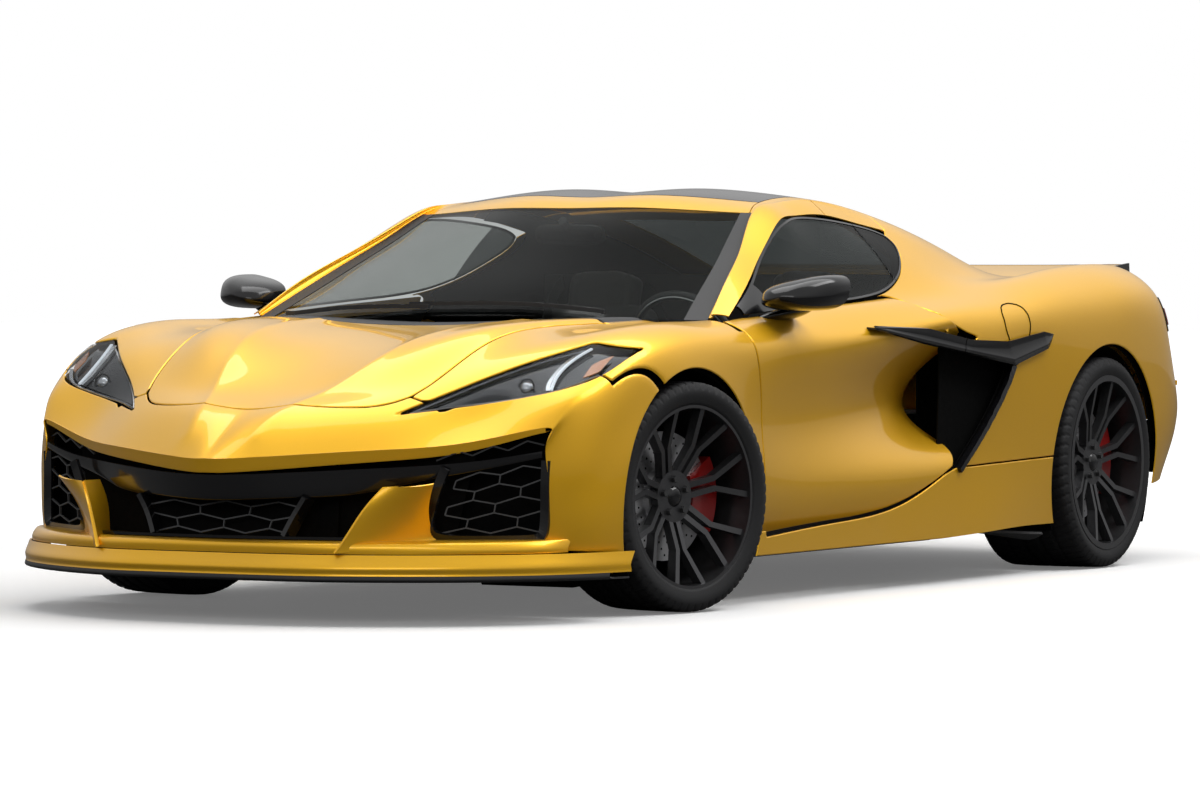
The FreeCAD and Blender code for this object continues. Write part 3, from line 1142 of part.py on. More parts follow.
# Steering column and wheel, on the car's left
tilt = math.radians(size("column_angle"))
column_way = V(0, math.cos(tilt), math.sin(tilt))
wheel_middle = V(size("column_x"), size("column_y"), size("column_z"))
hub_depth = size("steering_hub_depth")
column_end = wheel_middle - column_way * (hub_depth / 2 + SEAM)
column = Part.makeCylinder(size("steering_column_radius"), size("column_length"), column_end, column_way * -1)
column_pin = Part.makeCylinder(size("column_pin_radius"), size("column_pin_length"), column_end, column_way)
doc.recompute()
keep("steering_column", largest(column.fuse(column_pin).cut(dash.Shape)))
wheel_rim = Part.makeTorus(size("steering_wheel_radius"), size("steering_rim_radius"), wheel_middle, column_way)
wheel_hub = rod(size("steering_hub_radius"), hub_depth, wheel_middle, column_way)
spoke_half = size("steering_spoke_width") / 2
spoke_deep = size("steering_spoke_depth") / 2
spoke_x = size("steering_wheel_radius")
cross = upright_box((-spoke_x, spoke_x), (-spoke_half, spoke_half), (-spoke_deep, spoke_deep))
drop = upright_box((-spoke_half, spoke_half), (-spoke_x, 0), (-spoke_deep, spoke_deep))
spokes = cross.fuse(drop)
spokes.rotate(V(0, 0, 0), ACROSS, 90 - size("column_angle") + 180)
spokes.translate(wheel_middle)
wheel_bore = rod(size("column_pin_radius") + size("axle_fit"), size("column_pin_length") * 2 + LUG_GAP, column_end, column_way)
keep("steering_wheel", largest(wheel_rim.fuse([wheel_hub, spokes]).cut(wheel_bore)))

# Mirrors
mirror_arm = ruled([
    [(.86, .205, .82), (.86, .255, .83), (.86, .255, .872), (.86, .205, .865)],
    [(.98, .235, .875), (.98, .265, .88), (.98, .265, .895), (.98, .235, .89)],
])
mirror_case = ruled([
    [(.93, .215, .885), (.93, .285, .875), (.93, .285, .925), (.93, .215, .94)],
    [(1.075, .245, .89), (1.075, .285, .885), (1.075, .285, .965), (1.075, .245, .965)],
])
mirror_shape = largest(mirror_arm.fuse(mirror_case).cut([door_wall, pane]))

for side_name, turn in (("left", lambda shape: shape), ("right", mirrored)):
    keep("door_" + side_name, turn(door_shape))
    keep("door_glass_" + side_name, turn(door_pane))
    keep("door_blade_" + side_name, turn(door_blade))
    keep("mirror_" + side_name, turn(mirror_shape))
keep("side_blades", both(root_blade))

doc.recompute()
os.makedirs("parts", exist_ok=True)
inner = set()
for thing in doc.Objects:
    if thing.TypeId == "Part::Compound":
        inner.update(piece.Name for piece in thing.Links)
nodes = [thing for thing in doc.Objects
         if thing.TypeId in ("PartDesign::Body", "Part::Feature", "Part::Compound") and thing.Name not in inner]
for thing in doc.Objects:
    if "Invalid" in thing.State or "Error" in thing.State:
        raise RuntimeError(thing.Label + " did not compute")
for node in nodes:
    if node.Shape.isNull() or not node.Shape.isValid():
        raise RuntimeError(node.Label + " has no valid shape")
for node in nodes:
    node.Shape.exportStep("parts/" + node.Label + ".step")
print(len(nodes), "nodes")
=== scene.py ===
# %% [markdown]
# # A mid-engined coupe in golden-yellow paint
# The imported CAD model is the frame: every node sits where the real piece sits, in metres,
# with the nose towards -Y, the car's left side at +X and the ground at Z = 0. This lesson
# dresses that frame. Body panels are drawn again as dense smooth skins from the same nets of
# points that the CAD uses, and the wheels, lamps, meshes and cabin get the
# detail that only a picture needs.

# %% Load the frame
import json
import math
import bpy
import numpy as np
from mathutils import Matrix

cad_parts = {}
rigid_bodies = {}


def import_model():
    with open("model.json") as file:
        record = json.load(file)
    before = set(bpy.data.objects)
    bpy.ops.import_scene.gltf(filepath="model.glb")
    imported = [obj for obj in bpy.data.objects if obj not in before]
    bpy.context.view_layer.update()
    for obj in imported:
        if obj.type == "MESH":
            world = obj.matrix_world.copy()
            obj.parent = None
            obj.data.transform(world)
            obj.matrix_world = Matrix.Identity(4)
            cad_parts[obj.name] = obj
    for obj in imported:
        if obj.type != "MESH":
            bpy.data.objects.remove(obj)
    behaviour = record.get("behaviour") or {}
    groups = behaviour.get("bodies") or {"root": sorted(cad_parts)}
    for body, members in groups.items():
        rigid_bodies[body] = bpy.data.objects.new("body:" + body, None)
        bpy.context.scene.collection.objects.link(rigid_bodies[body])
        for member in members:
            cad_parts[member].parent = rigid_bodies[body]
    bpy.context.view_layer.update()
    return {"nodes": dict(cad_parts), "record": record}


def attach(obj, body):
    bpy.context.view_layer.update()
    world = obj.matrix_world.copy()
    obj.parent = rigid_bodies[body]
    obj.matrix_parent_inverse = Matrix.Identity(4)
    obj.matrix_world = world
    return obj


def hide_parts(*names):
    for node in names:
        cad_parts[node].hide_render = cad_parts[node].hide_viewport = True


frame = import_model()

# %% [markdown]
# ## Driving sizes
# A car is laid out from its axles. A share from -1 to 0 runs from the nose to the front axle,
# 0 to 1 from the front to the rear axle, and 1 to 2 on to the tail. Shares of X and Z are of
# one metre. The same shares draw the CAD, so the skins land on the solids.

# %% Axles and shares
WHEELBASE = 2.723
FRONT_Y = -1.274
REAR_Y = FRONT_Y + WHEELBASE
FRONT_OVERHANG = 1.090
REAR_OVERHANG = 0.895
SHARE_ENDS = [-1, 0, 1, 2]
Y_ENDS = [FRONT_Y - FRONT_OVERHANG, FRONT_Y, REAR_Y, REAR_Y + REAR_OVERHANG]


def along(share):
    """Y of a share of the car's length. Past the ends the end stretches carry on straight."""
    share = np.asarray(share, float)
    inner = np.interp(share, SHARE_ENDS, Y_ENDS)
    before = np.minimum(share - SHARE_ENDS[0], 0) * FRONT_OVERHANG
    after = np.maximum(share - SHARE_ENDS[-1], 0) * REAR_OVERHANG
    return inner + before + after


print("wheelbase", WHEELBASE, "nose", along(-1), "tail", along(2))

# %% [markdown]
# ## The nets
# A car body is drawn as long flowing lines with stations across them. The front net holds
# ten lines from the middle of the hood down to the rocker, the rear net twelve lines from the
# middle of the windscreen and roof down over the hips. Few points make clean reflections,
# because the spline between them can't ripple.

# %% Points of the front and the rear net
BEHIND_AXLE_SHARES = [0, .065, .14, .23, .33, .43, .52, .60]
FRONT_MIDDLE_SHARES = [-.995, -.85, -.70, -.55, -.38, -.19] + BEHIND_AXLE_SHARES
FRONT_OUTER_SHARES = [-.599, -.54, -.46, -.36, -.25, -.13] + BEHIND_AXLE_SHARES
FRONT_SWEEP_SHARES = [0, 0.05, 0.38, 0.75, 1, 1, 1, 1, 1, 1]
FRONT_X_SHARES = [
    [0] * 14,
    [.10, .15, .235, .30, .365, .43, .48, .50, .52, .54, .55, .55, .55, .55],
    [.40, .43, .46, .485, .51, .54, .57, .59, .62, .64, .65, .65, .65, .65],
    [.64, .64, .65, .66, .67, .68, .70, .71, .73, .75, .76, .76, .75, .74],
    [.836, .84, .835, .825, .815, .81, .81, .82, .84, .855, .86, .858, .852, .84],
    [.842, .885, .915, .93, .93, .925, .925, .93, .935, .94, .943, .945, .945, .945],
    [.843, .90, .935, .955, .965, .97, .97, .965, .96, .96, .96, .96, .96, .965],
    [.842, .902, .94, .965, .975, .98, .982, .975, .955, .935, .92, .895, .86, .80],
    [.835, .90, .94, .965, .98, .985, .985, .98, .965, .955, .955, .955, .95, .93],
    [.824, .89, .93, .955, .975, .98, .98, .975, .93, .925, .935, .95, .965, .98],
]
FRONT_Z_SHARES = [
    [.455, .562, .625, .69, .752, .79, .81, .822, .83, .835, .84, .84, .84, .84],
    [.457, .575, .632, .717, .79, .822, .832, .835, .838, .84, .84, .84, .84, .84],
    [.477, .575, .65, .725, .787, .812, .82, .824, .83, .835, .84, .845, .85, .86],
    [.498, .575, .675, .745, .782, .80, .805, .812, .822, .832, .842, .85, .865, .88],
    [.541, .615, .68, .745, .795, .816, .825, .826, .829, .84, .858, .872, .885, .895],
    [.50, .565, .63, .70, .755, .785, .795, .79, .785, .79, .795, .81, .83, .85],
    [.42, .45, .50, .57, .64, .68, .69, .69, .69, .70, .715, .735, .755, .775],
    [.34, .36, .40, .44, .48, .52, .53, .52, .52, .53, .54, .555, .565, .575],
    [.27, .275, .285, .30, .32, .33, .33, .33, .34, .35, .365, .385, .405, .43],
    [.205, .20, .195, .19, .19, .19, .19, .19, .195, .205, .225, .25, .285, .34],
]
BEHIND_CABIN_SHARES = [.60, .688, .773, .857, .931, 1, 1.2, 1.4, 1.6, 1.8, 1.985]
REAR_MIDDLE_SHARES = [.057, .126, .20, .273, .339, .387, .497] + BEHIND_CABIN_SHARES
REAR_PILLAR_SHARES = [.136, .203, .27, .328, .383, .431, .504] + BEHIND_CABIN_SHARES
REAR_GLASS_SHARES = [.150, .224, .284, .336, .389, .438, .512] + BEHIND_CABIN_SHARES
REAR_SWEEP_SHARES = [(0, 0), (.25, 0), (1, 0), (.8, .2)] + [(0, 1)] * 8
REAR_TUCK_SHARES = [0, 0, .02, .05, .12, .25, .31, .30, .22, .17, .18, .31]
REAR_TUCK_GROWTH_SHARES = [0] * 15 + [.15, .5, 1]
REAR_X_SHARES = [
    [0] * 18,
    [.40, .37, .335, .30, .27, .25, .24, .24, .24, .24, .24, .24, .24, .24, .24, .24, .24, .24],
    [.748, .70, .655, .61, .569, .532, .53, .52, .50, .48, .46, .45, .45, .45, .45, .45, .45, .45],
    [.79, .743, .69, .632, .588, .585, .585, .59, .59, .59, .585, .575, .565, .56, .56, .56, .56, .56],
    [.83, .785, .735, .697, .662, .643, .632, .637, .66, .675, .68, .68, .68, .68, .68, .68, .67, .66],
    [.862, .828, .80, .785, .765, .755, .75, .745, .755, .765, .775, .78, .78, .78, .78, .775, .76, .74],
    [.90, .857, .856, .858, .858, .856, .852, .85, .855, .858, .862, .863, .862, .86, .855, .845, .82, .79],
    [.945, .935, .94, .943, .944, .945, .95, .955, .965, .975, .975, .975, .975, .975, .965, .945, .91, .87],
    [.96, .96, .96, .96, .96, .96, .965, .985, 1.0, 1.005, 1.01, 1.012, 1.0125, 1.01, 1.0, .98, .945, .905],
    [.97, .97, .97, .97, .97, .97, .975, .985, .995, 1.0, 1.005, 1.01, 1.0125, 1.012, 1.003, .985, .955, .92],
    [.97, .97, .97, .97, .97, .97, .975, .98, .985, .99, .995, 1.0, 1.01, 1.008, 1.0, .98, .95, .915],
    [.97, .97, .97, .97, .97, .97, .975, .98, .985, .985, .985, .99, 1.0, 1.0, .985, .96, .925, .89],
]
REAR_Z_SHARES = [
    [.838, .925, 1.01, 1.095, 1.163, 1.198, 1.216, 1.197, 1.15,
     1.092, 1.03, .978, .945, .93, .928, .935, .945, .95],
    [.836, .923, 1.009, 1.094, 1.163, 1.203, 1.227, 1.203, 1.155,
     1.096, 1.032, .979, .945, .93, .928, .935, .945, .95],
    [.825, .91, .995, 1.072, 1.147, 1.18, 1.198, 1.182, 1.148,
     1.105, 1.045, .985, .948, .935, .933, .94, .95, .955],
    [.832, .94, 1.02, 1.095, 1.163, 1.18, 1.188, 1.165, 1.133,
     1.09, 1.038, .985, .95, .94, .943, .95, .96, .96],
    [.83, .925, 1.0, 1.068, 1.13, 1.143, 1.147, 1.12, 1.085,
     1.035, .985, .957, .95, .955, .96, .965, .965, .96],
    [.80, .882, .93, .96, .99, 1.005, 1.01, 1.01, .985, .955, .945, .955, .968, .975, .978, .975, .965, .945],
    [.755, .84, .852, .86, .868, .875, .885, .895, .905, .92, .945, .968, .982, .988, .985, .965, .93, .885],
    [.69, .77, .79, .797, .802, .81, .825, .84, .85, .86, .885, .90, .91, .915, .91, .89, .85, .80],
    [.60, .68, .70, .71, .715, .72, .735, .745, .745, .75, .76, .77, .775, .78, .77, .75, .71, .68],
    [.48, .54, .56, .57, .58, .59, .60, .59, .58, .57, .57, .575, .58, .58, .58, .58, .57, .56],
    [.35, .39, .40, .41, .42, .42, .43, .42, .41, .40, .40, .40, .40, .40, .41, .42, .42, .43],
    [.20, .20, .21, .22, .23, .24, .25, .25, .25, .25, .25, .25, .25, .255, .26, .27, .28, .29],
]

# %% [markdown]
# ### Surfaces from a net
# A natural cubic spline bends as a thin batten does, so it is run along every line of the
# net and then across. The result is a surface of two parameters, station and line.

# %% Splines and surfaces
def spline(points, numbers):
    """Natural cubic spline through evenly numbered points. Between points i and i + 1, with
    b = t - i and a = 1 - b, the point is a p_i + b p_(i+1) + ((a^3 - a) m_i + (b^3 - b) m_(i+1)) / 6.
    The bends m solve m_(i-1) + 4 m_i + m_(i+1) = 6 (p_(i-1) - 2 p_i + p_(i+1)), and are 0 at the ends."""
    points = np.asarray(points, float)
    count = len(points)
    inner = np.arange(1, count - 1)
    system = np.eye(count)
    system[inner, inner] = 4
    system[inner, inner - 1] = 1
    system[inner, inner + 1] = 1
    pull = np.zeros_like(points)
    pull[1:-1] = 6 * (points[2:] - 2 * points[1:-1] + points[:-2])
    bend = np.linalg.solve(system, pull.reshape(count, -1)).reshape(points.shape)
    numbers = np.asarray(numbers, float)
    i = np.clip(np.floor(numbers).astype(int), 0, count - 2)
    b = (numbers - i).reshape((-1,) + (1,) * (points.ndim - 1))
    a = 1 - b
    return a * points[i] + b * points[i + 1] + ((a**3 - a) * bend[i] + (b**3 - b) * bend[i + 1]) / 6


def net_of(x_shares, z_shares, y_shares):
    """Lines by stations by XYZ, in metres, from tables of shares."""
    return np.stack([np.array(x_shares, float), along(y_shares), np.array(z_shares, float)], axis=2)


def surface(net, stations, lines):
    """Points of a net at every station and line number, as a grid. Line numbers below 0 are
    the same lines on the other side. The spline runs along the stations first, then across."""
    sections = spline(net.transpose(1, 0, 2), stations)
    other = sections[:, :0:-1] * [-1, 1, 1]
    whole = np.concatenate([other, sections], axis=1)
    return spline(whole.transpose(1, 0, 2), np.asarray(lines) + other.shape[1]).transpose(1, 0, 2)


def unit(vectors):
    return vectors / np.maximum(np.linalg.norm(vectors, axis=-1, keepdims=True), 1e-12)


def grid_normals(grid):
    """Outward normals of a grid: the slope across the lines times the slope along the stations."""
    return unit(np.cross(np.gradient(grid, axis=1), np.gradient(grid, axis=0)))


front_middle = np.array(FRONT_MIDDLE_SHARES)
front_outer = np.array(FRONT_OUTER_SHARES)
front_y = front_middle + np.array(FRONT_SWEEP_SHARES)[:, None] * (front_outer - front_middle)
FRONT = net_of(FRONT_X_SHARES, FRONT_Z_SHARES, front_y)
rear_middle = np.array(REAR_MIDDLE_SHARES)
rear_sweep = np.array(REAR_SWEEP_SHARES)
rear_y = rear_middle + rear_sweep[:, :1] * (np.array(REAR_PILLAR_SHARES) - rear_middle)
rear_y = rear_y + rear_sweep[:, 1:] * (np.array(REAR_GLASS_SHARES) - rear_middle)
rear_y = rear_y - np.outer(REAR_TUCK_SHARES, REAR_TUCK_GROWTH_SHARES)
REAR = net_of(REAR_X_SHARES, REAR_Z_SHARES, rear_y)
print("front net", FRONT.shape, "rear net", REAR.shape)

# %% [markdown]
# ## Shut lines
# A pressed panel ends in a folded hem, so a shut line on a real car is a dark gap between
# two small rounded edges. Each outline below is drawn in one view, from the side, from above
# or from the front, and gives every point of a skin its distance inside the outline. The
# skin is cut where that distance is zero, and rolls inwards over the last few millimetres.


# %% Outlines and distances
def loop_of(stretches, steps=10):
    """Closed loop from stretches of shares: two points are a line, more are a spline."""
    runs = []
    for points in stretches:
        count = 1 if len(points) == 2 else steps * (len(points) - 1)
        numbers = np.linspace(0, len(points) - 1, count, endpoint=False)
        runs.append(spline(points, numbers))
    return np.concatenate(runs)


def inside_distance(points, loop):
    """Distance from points to a closed loop, above zero inside it. The nearest point of each
    edge is the projection held between its ends. A point is inside when a ray from it crosses
    the loop an odd number of times."""
    start = loop
    edge = np.roll(loop, -1, axis=0) - start
    away = points[:, None] - start
    share = np.clip((away * edge).sum(2) / np.maximum((edge**2).sum(1), 1e-18), 0, 1)
    gap = np.linalg.norm(away - share[..., None] * edge, axis=2).min(1)
    end_y = start[:, 1] + edge[:, 1]
    crosses = (start[:, 1] > points[:, None, 1]) != (end_y > points[:, None, 1])
    rise = np.where(edge[:, 1] == 0, 1e-12, edge[:, 1])
    ray_x = start[:, 0] + (points[:, None, 1] - start[:, 1]) * edge[:, 0] / rise
    odd = (crosses & (points[:, None, 0] < ray_x)).sum(1) % 2 == 1
    return np.where(odd, gap, -gap)


def side_outline(stretches):
    """Distance inside an outline drawn from the side, as shares of length and height."""
    loop = loop_of(stretches)
    loop = np.column_stack([along(loop[:, 0]), loop[:, 1]])
    return lambda points: inside_distance(points[:, 1:3], loop)


def plan_outline(stretches):
    """Distance inside an outline drawn from above, as shares of width and length."""
    loop = loop_of(stretches)
    loop = np.column_stack([loop[:, 0], along(loop[:, 1])])
    return lambda points: inside_distance(points[:, 0:2], loop)


def front_outline(stretches):
    """Distance inside an outline drawn from the front, in the left half of the car."""
    loop = loop_of(stretches)
    return lambda points: inside_distance(np.abs(points[:, [0, 2]]), loop)


def outside(field):
    """The same edge for the panel on the other side of it."""
    return lambda points: -field(points)


def inset(field, by):
    """The same edge moved inwards by a length."""
    return lambda points: field(points) - by


def ahead_of(y):
    """Distance ahead of a plane across the car."""
    return lambda points: y - points[:, 1]


def circle_outside(y, z, radius):
    """Distance outside a wheel arch: the distance to its centre in the side view less the radius."""
    return lambda points: np.hypot(points[:, 1] - y, points[:, 2] - z) - radius


# %% [markdown]
# ### Cutting a panel out of its net
# The grid keeps its even cells, and only the triangles that an outline crosses are cut. So
# the surface stays smooth right up to its edge, which a coarse mask couldn't do.

# %% Cutting triangles along an outline
SHUT_GAP = 0.0045
HEM = 0.0035
CELL = 0.013


def compact(points, faces):
    """The same triangles without the points that none of them uses."""
    used, numbers = np.unique(faces, return_inverse=True)
    return points[used], numbers.reshape(-1, 3)


def split(points, faces, value, drop):
    """Cuts triangles where a value at their corners crosses zero. A cut triangle becomes a
    triangle and a quad. New corners are shared between neighbours. Drop leaves out what is
    below zero."""
    value = np.where(np.abs(value) < 1e-7, 0, value)
    above = value >= 0
    count = above[faces].sum(1)
    whole = faces[(count == 3) | ((count == 0) & (not drop))]
    cut = faces[(count == 1) | (count == 2)]
    if not len(cut):
        return compact(points, whole)
    lone_above = above[cut].sum(1) == 1
    first = np.argmax(above[cut] == lone_above[:, None], axis=1)
    turned = cut[np.arange(len(cut))[:, None], (first[:, None] + np.arange(3)) % 3]
    lone, second, third = turned.T
    edges = np.sort(np.concatenate([turned[:, [0, 1]], turned[:, [0, 2]]]), axis=1)
    unique, number = np.unique(edges, axis=0, return_inverse=True)
    number = number.reshape(-1)
    low, high = value[unique].T
    share = (low / (low - high))[:, None]
    fresh = points[unique[:, 0]] * (1 - share) + points[unique[:, 1]] * share
    to_second = number[: len(cut)] + len(points)
    to_third = number[len(cut):] + len(points)
    tips = np.column_stack([lone, to_second, to_third])
    stumps = np.concatenate([
        np.column_stack([to_second, second, third]), np.column_stack([to_second, third, to_third])])
    lone_twice = np.concatenate([lone_above, lone_above])
    if drop:
        tips = tips[lone_above]
        stumps = stumps[~lone_twice]
    return compact(np.concatenate([points, fresh]), np.concatenate([whole, tips, stumps]))


print("shut gap", SHUT_GAP, "hem", HEM, "cell", CELL)


# %% [markdown]
# ## Normals and faces
# Light shows a surface by its normals. A pressed panel needs soft ones, shared by the
# triangles round a point, and a cut edge needs hard ones, a face's own at each corner. Most
# triangles come from a grid, either open or closed like a tube.

# %% Normals, and triangles from a grid
def face_normals(points, faces):
    a, b, c = points[faces[:, 0]], points[faces[:, 1]], points[faces[:, 2]]
    return np.cross(b - a, c - a)


def point_normals(points, faces):
    """Normals at the points: the sum of the neighbouring triangles' areas times normals."""
    area = face_normals(points, faces)
    total = np.zeros_like(points)
    for corner in range(3):
        np.add.at(total, faces[:, corner], area)
    return unit(total)


def flat_corners(points, faces):
    """The face's own normal at each of its corners, for hard edges."""
    return np.repeat(unit(face_normals(points, faces)), 3, axis=0)


def soft_corners(points, faces):
    """The points' normals at each face corner, for round surfaces."""
    return point_normals(points, faces)[faces].reshape(-1, 3)


def facing_out(points, faces, middle):
    """The faces, turned over if together they point towards the middle."""
    outward = (face_normals(points, faces) * (points[faces].mean(1) - middle)).sum()
    return faces if outward >= 0 else faces[:, ::-1]


def tube_faces(rows, around, closed=False):
    """Two triangles for each cell of rings that lie row by row. Closed joins the last row to
    the first one."""
    i, j = np.meshgrid(np.arange(rows if closed else rows - 1), np.arange(around), indexing="ij")
    a, d = i * around + j, i * around + (j + 1) % around
    b, c = (i + 1) % rows * around + j, (i + 1) % rows * around + (j + 1) % around
    return np.concatenate([np.stack([a, b, c], 2).reshape(-1, 3), np.stack([a, c, d], 2).reshape(-1, 3)])


def grid_faces(rows, columns):
    """Two triangles for each cell of a grid whose points lie row by row."""
    corner = (np.arange(rows - 1)[:, None] * columns + np.arange(columns - 1)).ravel()
    right, below, across = corner + 1, corner + columns, corner + columns + 1
    return np.concatenate([
        np.column_stack([corner, right, across]), np.column_stack([corner, across, below])])


print("faces of a 3 by 3 grid", len(grid_faces(3, 3)))


# %% [markdown]
# ## Hems and walls
# Sheet metal is folded round at a shut line, so its edge is a small dark curve and never a
# knife. The hem sinks the last millimetres of a skin along a quarter circle. A second sheet
# below and a rim close the skin, so it can be seen from both sides.

# %% Hems and walls
def skin_from(grid, fields, hem):
    """Cuts a grid of points along the fields and rolls its edges in. Returns points, faces and
    normals. At a distance d from its edge a hem of radius r sinks by r - sqrt(r^2 - (r - d)^2)."""
    gap = SHUT_GAP / 2
    data = np.concatenate([grid, grid_normals(grid)], axis=2).reshape(-1, 6)
    faces = grid_faces(*grid.shape[:2])
    if np.dot(face_normals(data[:, :3], faces)[len(faces) // 4], data[faces[len(faces) // 4, 0], 3:]) < 0:
        faces = faces[:, ::-1]
    for field in fields:
        data, faces = split(data, faces, field(data[:, :3]) - gap, drop=True)
    if hem:
        for level in (hem * 0.3, hem):
            for field in fields:
                data, faces = split(data, faces, field(data[:, :3]) - gap - level, drop=False)
    points, normals = data[:, :3].copy(), unit(data[:, 3:])
    if hem and fields:
        inside = np.min([field(points) - gap for field in fields], axis=0)
        depth = np.clip(hem - inside, 0, hem)
        sink = hem - np.sqrt(hem**2 - depth**2)
        points -= normals * sink[:, None]
        bent = point_normals(points, faces)
        near = (depth > hem * 0.02)[:, None]
        normals = np.where(near, bent, normals)
    return points, faces, normals


def thicken(points, faces, normals, depth):
    """Closes a skin: the same sheet again below it, turned over, and a rim round every edge.
    Returns points, faces and a normal for each face corner."""
    count = len(points)
    edges = np.concatenate([faces[:, [0, 1]], faces[:, [1, 2]], faces[:, [2, 0]]])
    ordered = np.sort(edges, axis=1)
    unique, number, uses = np.unique(ordered, axis=0, return_inverse=True, return_counts=True)
    rim = edges[uses[number.reshape(-1)] == 1]
    below = points - normals * depth
    a, b = rim[:, 0], rim[:, 1]
    rim_faces = np.concatenate([
        np.column_stack([b, a, a + count]), np.column_stack([b, a + count, b + count])])
    all_points = np.concatenate([points, below])
    all_faces = np.concatenate([faces, faces[:, ::-1] + count, rim_faces])
    corners = np.concatenate([
        normals[faces].reshape(-1, 3), -normals[faces[:, ::-1]].reshape(-1, 3),
        flat_corners(all_points, rim_faces)])
    return all_points, all_faces, corners


print("hem of", HEM * 1000, "mm")


# %% [markdown]
# ## From arrays to objects
# A piece stays three arrays, points, faces and corner normals, until it is put into the
# scene. The car is the same on both sides, so most pieces are made once and mirrored.

# %% Mirroring, joining and placing
def mirrored(points, faces, corners):
    """The same piece on the other side of the car, with its faces turned to point outwards."""
    flipped = corners.reshape(-1, 3, 3)[:, ::-1] * [-1, 1, 1]
    return points * [-1, 1, 1], faces[:, ::-1], flipped.reshape(-1, 3)


def joined(*pieces):
    """Several pieces as one list of points, faces and corner normals."""
    starts = np.cumsum([0] + [len(piece[0]) for piece in pieces[:-1]])
    points = np.concatenate([piece[0] for piece in pieces])
    faces = np.concatenate([piece[1] + start for piece, start in zip(pieces, starts)])
    return points, faces, np.concatenate([piece[2] for piece in pieces])


def both_sides(piece):
    return joined(piece, mirrored(*piece))


def triangles_of(name):
    return len(bpy.data.objects[name].data.polygons)


def triangles_in_all():
    return sum(len(thing.data.polygons) for thing in bpy.data.objects if thing.type == "MESH")


def put(name, piece, material, body, replaces=()):
    """Makes the mesh object, gives it its finish and lets it ride on its body."""
    points, faces, corners = piece
    mesh = bpy.data.meshes.new(name)
    mesh.from_pydata(points.tolist(), [], faces.tolist())
    mesh.polygons.foreach_set("use_smooth", np.ones(len(faces), bool))
    mesh.normals_split_custom_set(corners.tolist())
    mesh.materials.append(material)
    made = bpy.data.objects.new(name, mesh)
    bpy.context.scene.collection.objects.link(made)
    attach(made, body)
    if replaces:
        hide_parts(*replaces)
    return made


def put_pair(name, piece, material, body, replaces=()):
    """A piece on each side, where the left and the right one ride on bodies of their own."""
    for side, turned in (("left", piece), ("right", mirrored(*piece))):
        nodes = [f"{node}_{side}" for node in replaces]
        put(f"{name}_{side}", turned, material, f"{body}_{side}", nodes)


# %% [markdown]
# ## A skin of the right fineness
# A wide panel needs more grid points than a small one for the same cell size, so the patch
# is measured first.

# %% Skins from a net
def line_distance(points, line):
    """Distance from points to an open line of straight stretches."""
    start, edge = line[:-1], np.diff(line, axis=0)
    away = points[:, None] - start
    share = np.clip((away * edge).sum(2) / (edge**2).sum(1), 0, 1)
    return np.linalg.norm(away - share[..., None] * edge, axis=2).min(1)


def steps_for(net, stations, lines, cell):
    """How many grid points give cells of the wanted size: the longest line of the patch and
    its longest section, each divided by the cell."""
    rough = surface(net, np.linspace(*stations, 24), np.linspace(*lines, 24))
    along_lines = np.linalg.norm(np.diff(rough, axis=0), axis=2).sum(0).max()
    across_lines = np.linalg.norm(np.diff(rough, axis=1), axis=2).sum(1).max()
    return max(int(along_lines / cell), 6), max(int(across_lines / cell), 6)


def skin(net, stations, lines, fields=(), depth=0.004, cell=CELL, lift=0.0, hem=HEM):
    """A finished skin on a net, cut by its fields, with a grid as fine as its size needs. Lift
    moves it outwards along its normals, by a length or by a function of the points."""
    rows, columns = steps_for(net, stations, lines, cell)
    grid = surface(net, np.linspace(*stations, rows), np.linspace(*lines, columns))
    rise = lift(grid.reshape(-1, 3)).reshape(rows, columns, 1) if callable(lift) else lift
    return thicken(*skin_from(grid + grid_normals(grid) * rise, fields, hem), depth)


print("tools for skins are ready")


# %% [markdown]
# ## The panels' outlines
# Door, window, hood and lamp follow the shut lines of the picture. Neighbours share one
# outline, and each takes its own side of it, so the gap between them is even.

# %% Outlines of the panels
def straight_runs(points):
    """Straight stretches from each point to the next."""
    return [[here, there] for here, there in zip(points, points[1:])]


def whole_width(stretches):
    """Outline that crosses the middle of the car, from its left half."""
    twin = [[(-x, y) for x, y in reversed(stretch)] for stretch in reversed(stretches)]
    return stretches + twin


DOOR_SHARES = [
    [(.126, .828), (.134, .714), (.142, .631), (.147, .511), (.147, .33), (.147, .20)],
    [(.147, .20), (.30, .223), (.455, .255), (.594, .364)],
    [(.594, .364), (.606, .437), (.590, .547), (.598, .66), (.645, .765)],
    [(.645, .765), (.60, .80), (.552, .87), (.512, .895)],
    [(.512, .895), (.30, .858), (.126, .828)],
]
WINDOW_SHARES = [
    [(.150, .836), (.229, .928), (.331, 1.062), (.392, 1.122), (.464, 1.138), (.587, 1.115), (.642, 1.085)],
    [(.642, 1.085), (.646, 1.043), (.617, .986), (.577, .94), (.518, .903), (.441, .883)],
    [(.441, .883), (.30, .862), (.150, .836)],
]
HOOD_SHARES = whole_width([
    [(0, -.80), (.20, -.785), (.36, -.735), (.44, -.66)],
    [(.44, -.66), (.475, -.56), (.505, -.40), (.535, -.22), (.575, 0), (.60, .045)],
    [(.60, .045), (.30, .018), (0, .010)],
])
LAMP_SHARES = [
    [(.442, .577), (.52, .626), (.66, .702), (.812, .772)],
    [(.812, .772), (.93, .755)],
    [(.93, .755), (.90, .683), (.80, .639), (.62, .604), (.442, .577)],
]
FASCIA_SHARES = whole_width(straight_runs([
    (0, -1.2), (1.2, -1.2), (1.2, .40), (.93, -.406), (.75, -.50), (.62, -.575), (.54, -.66), (.44, -.66),
    (0, -.66)]))
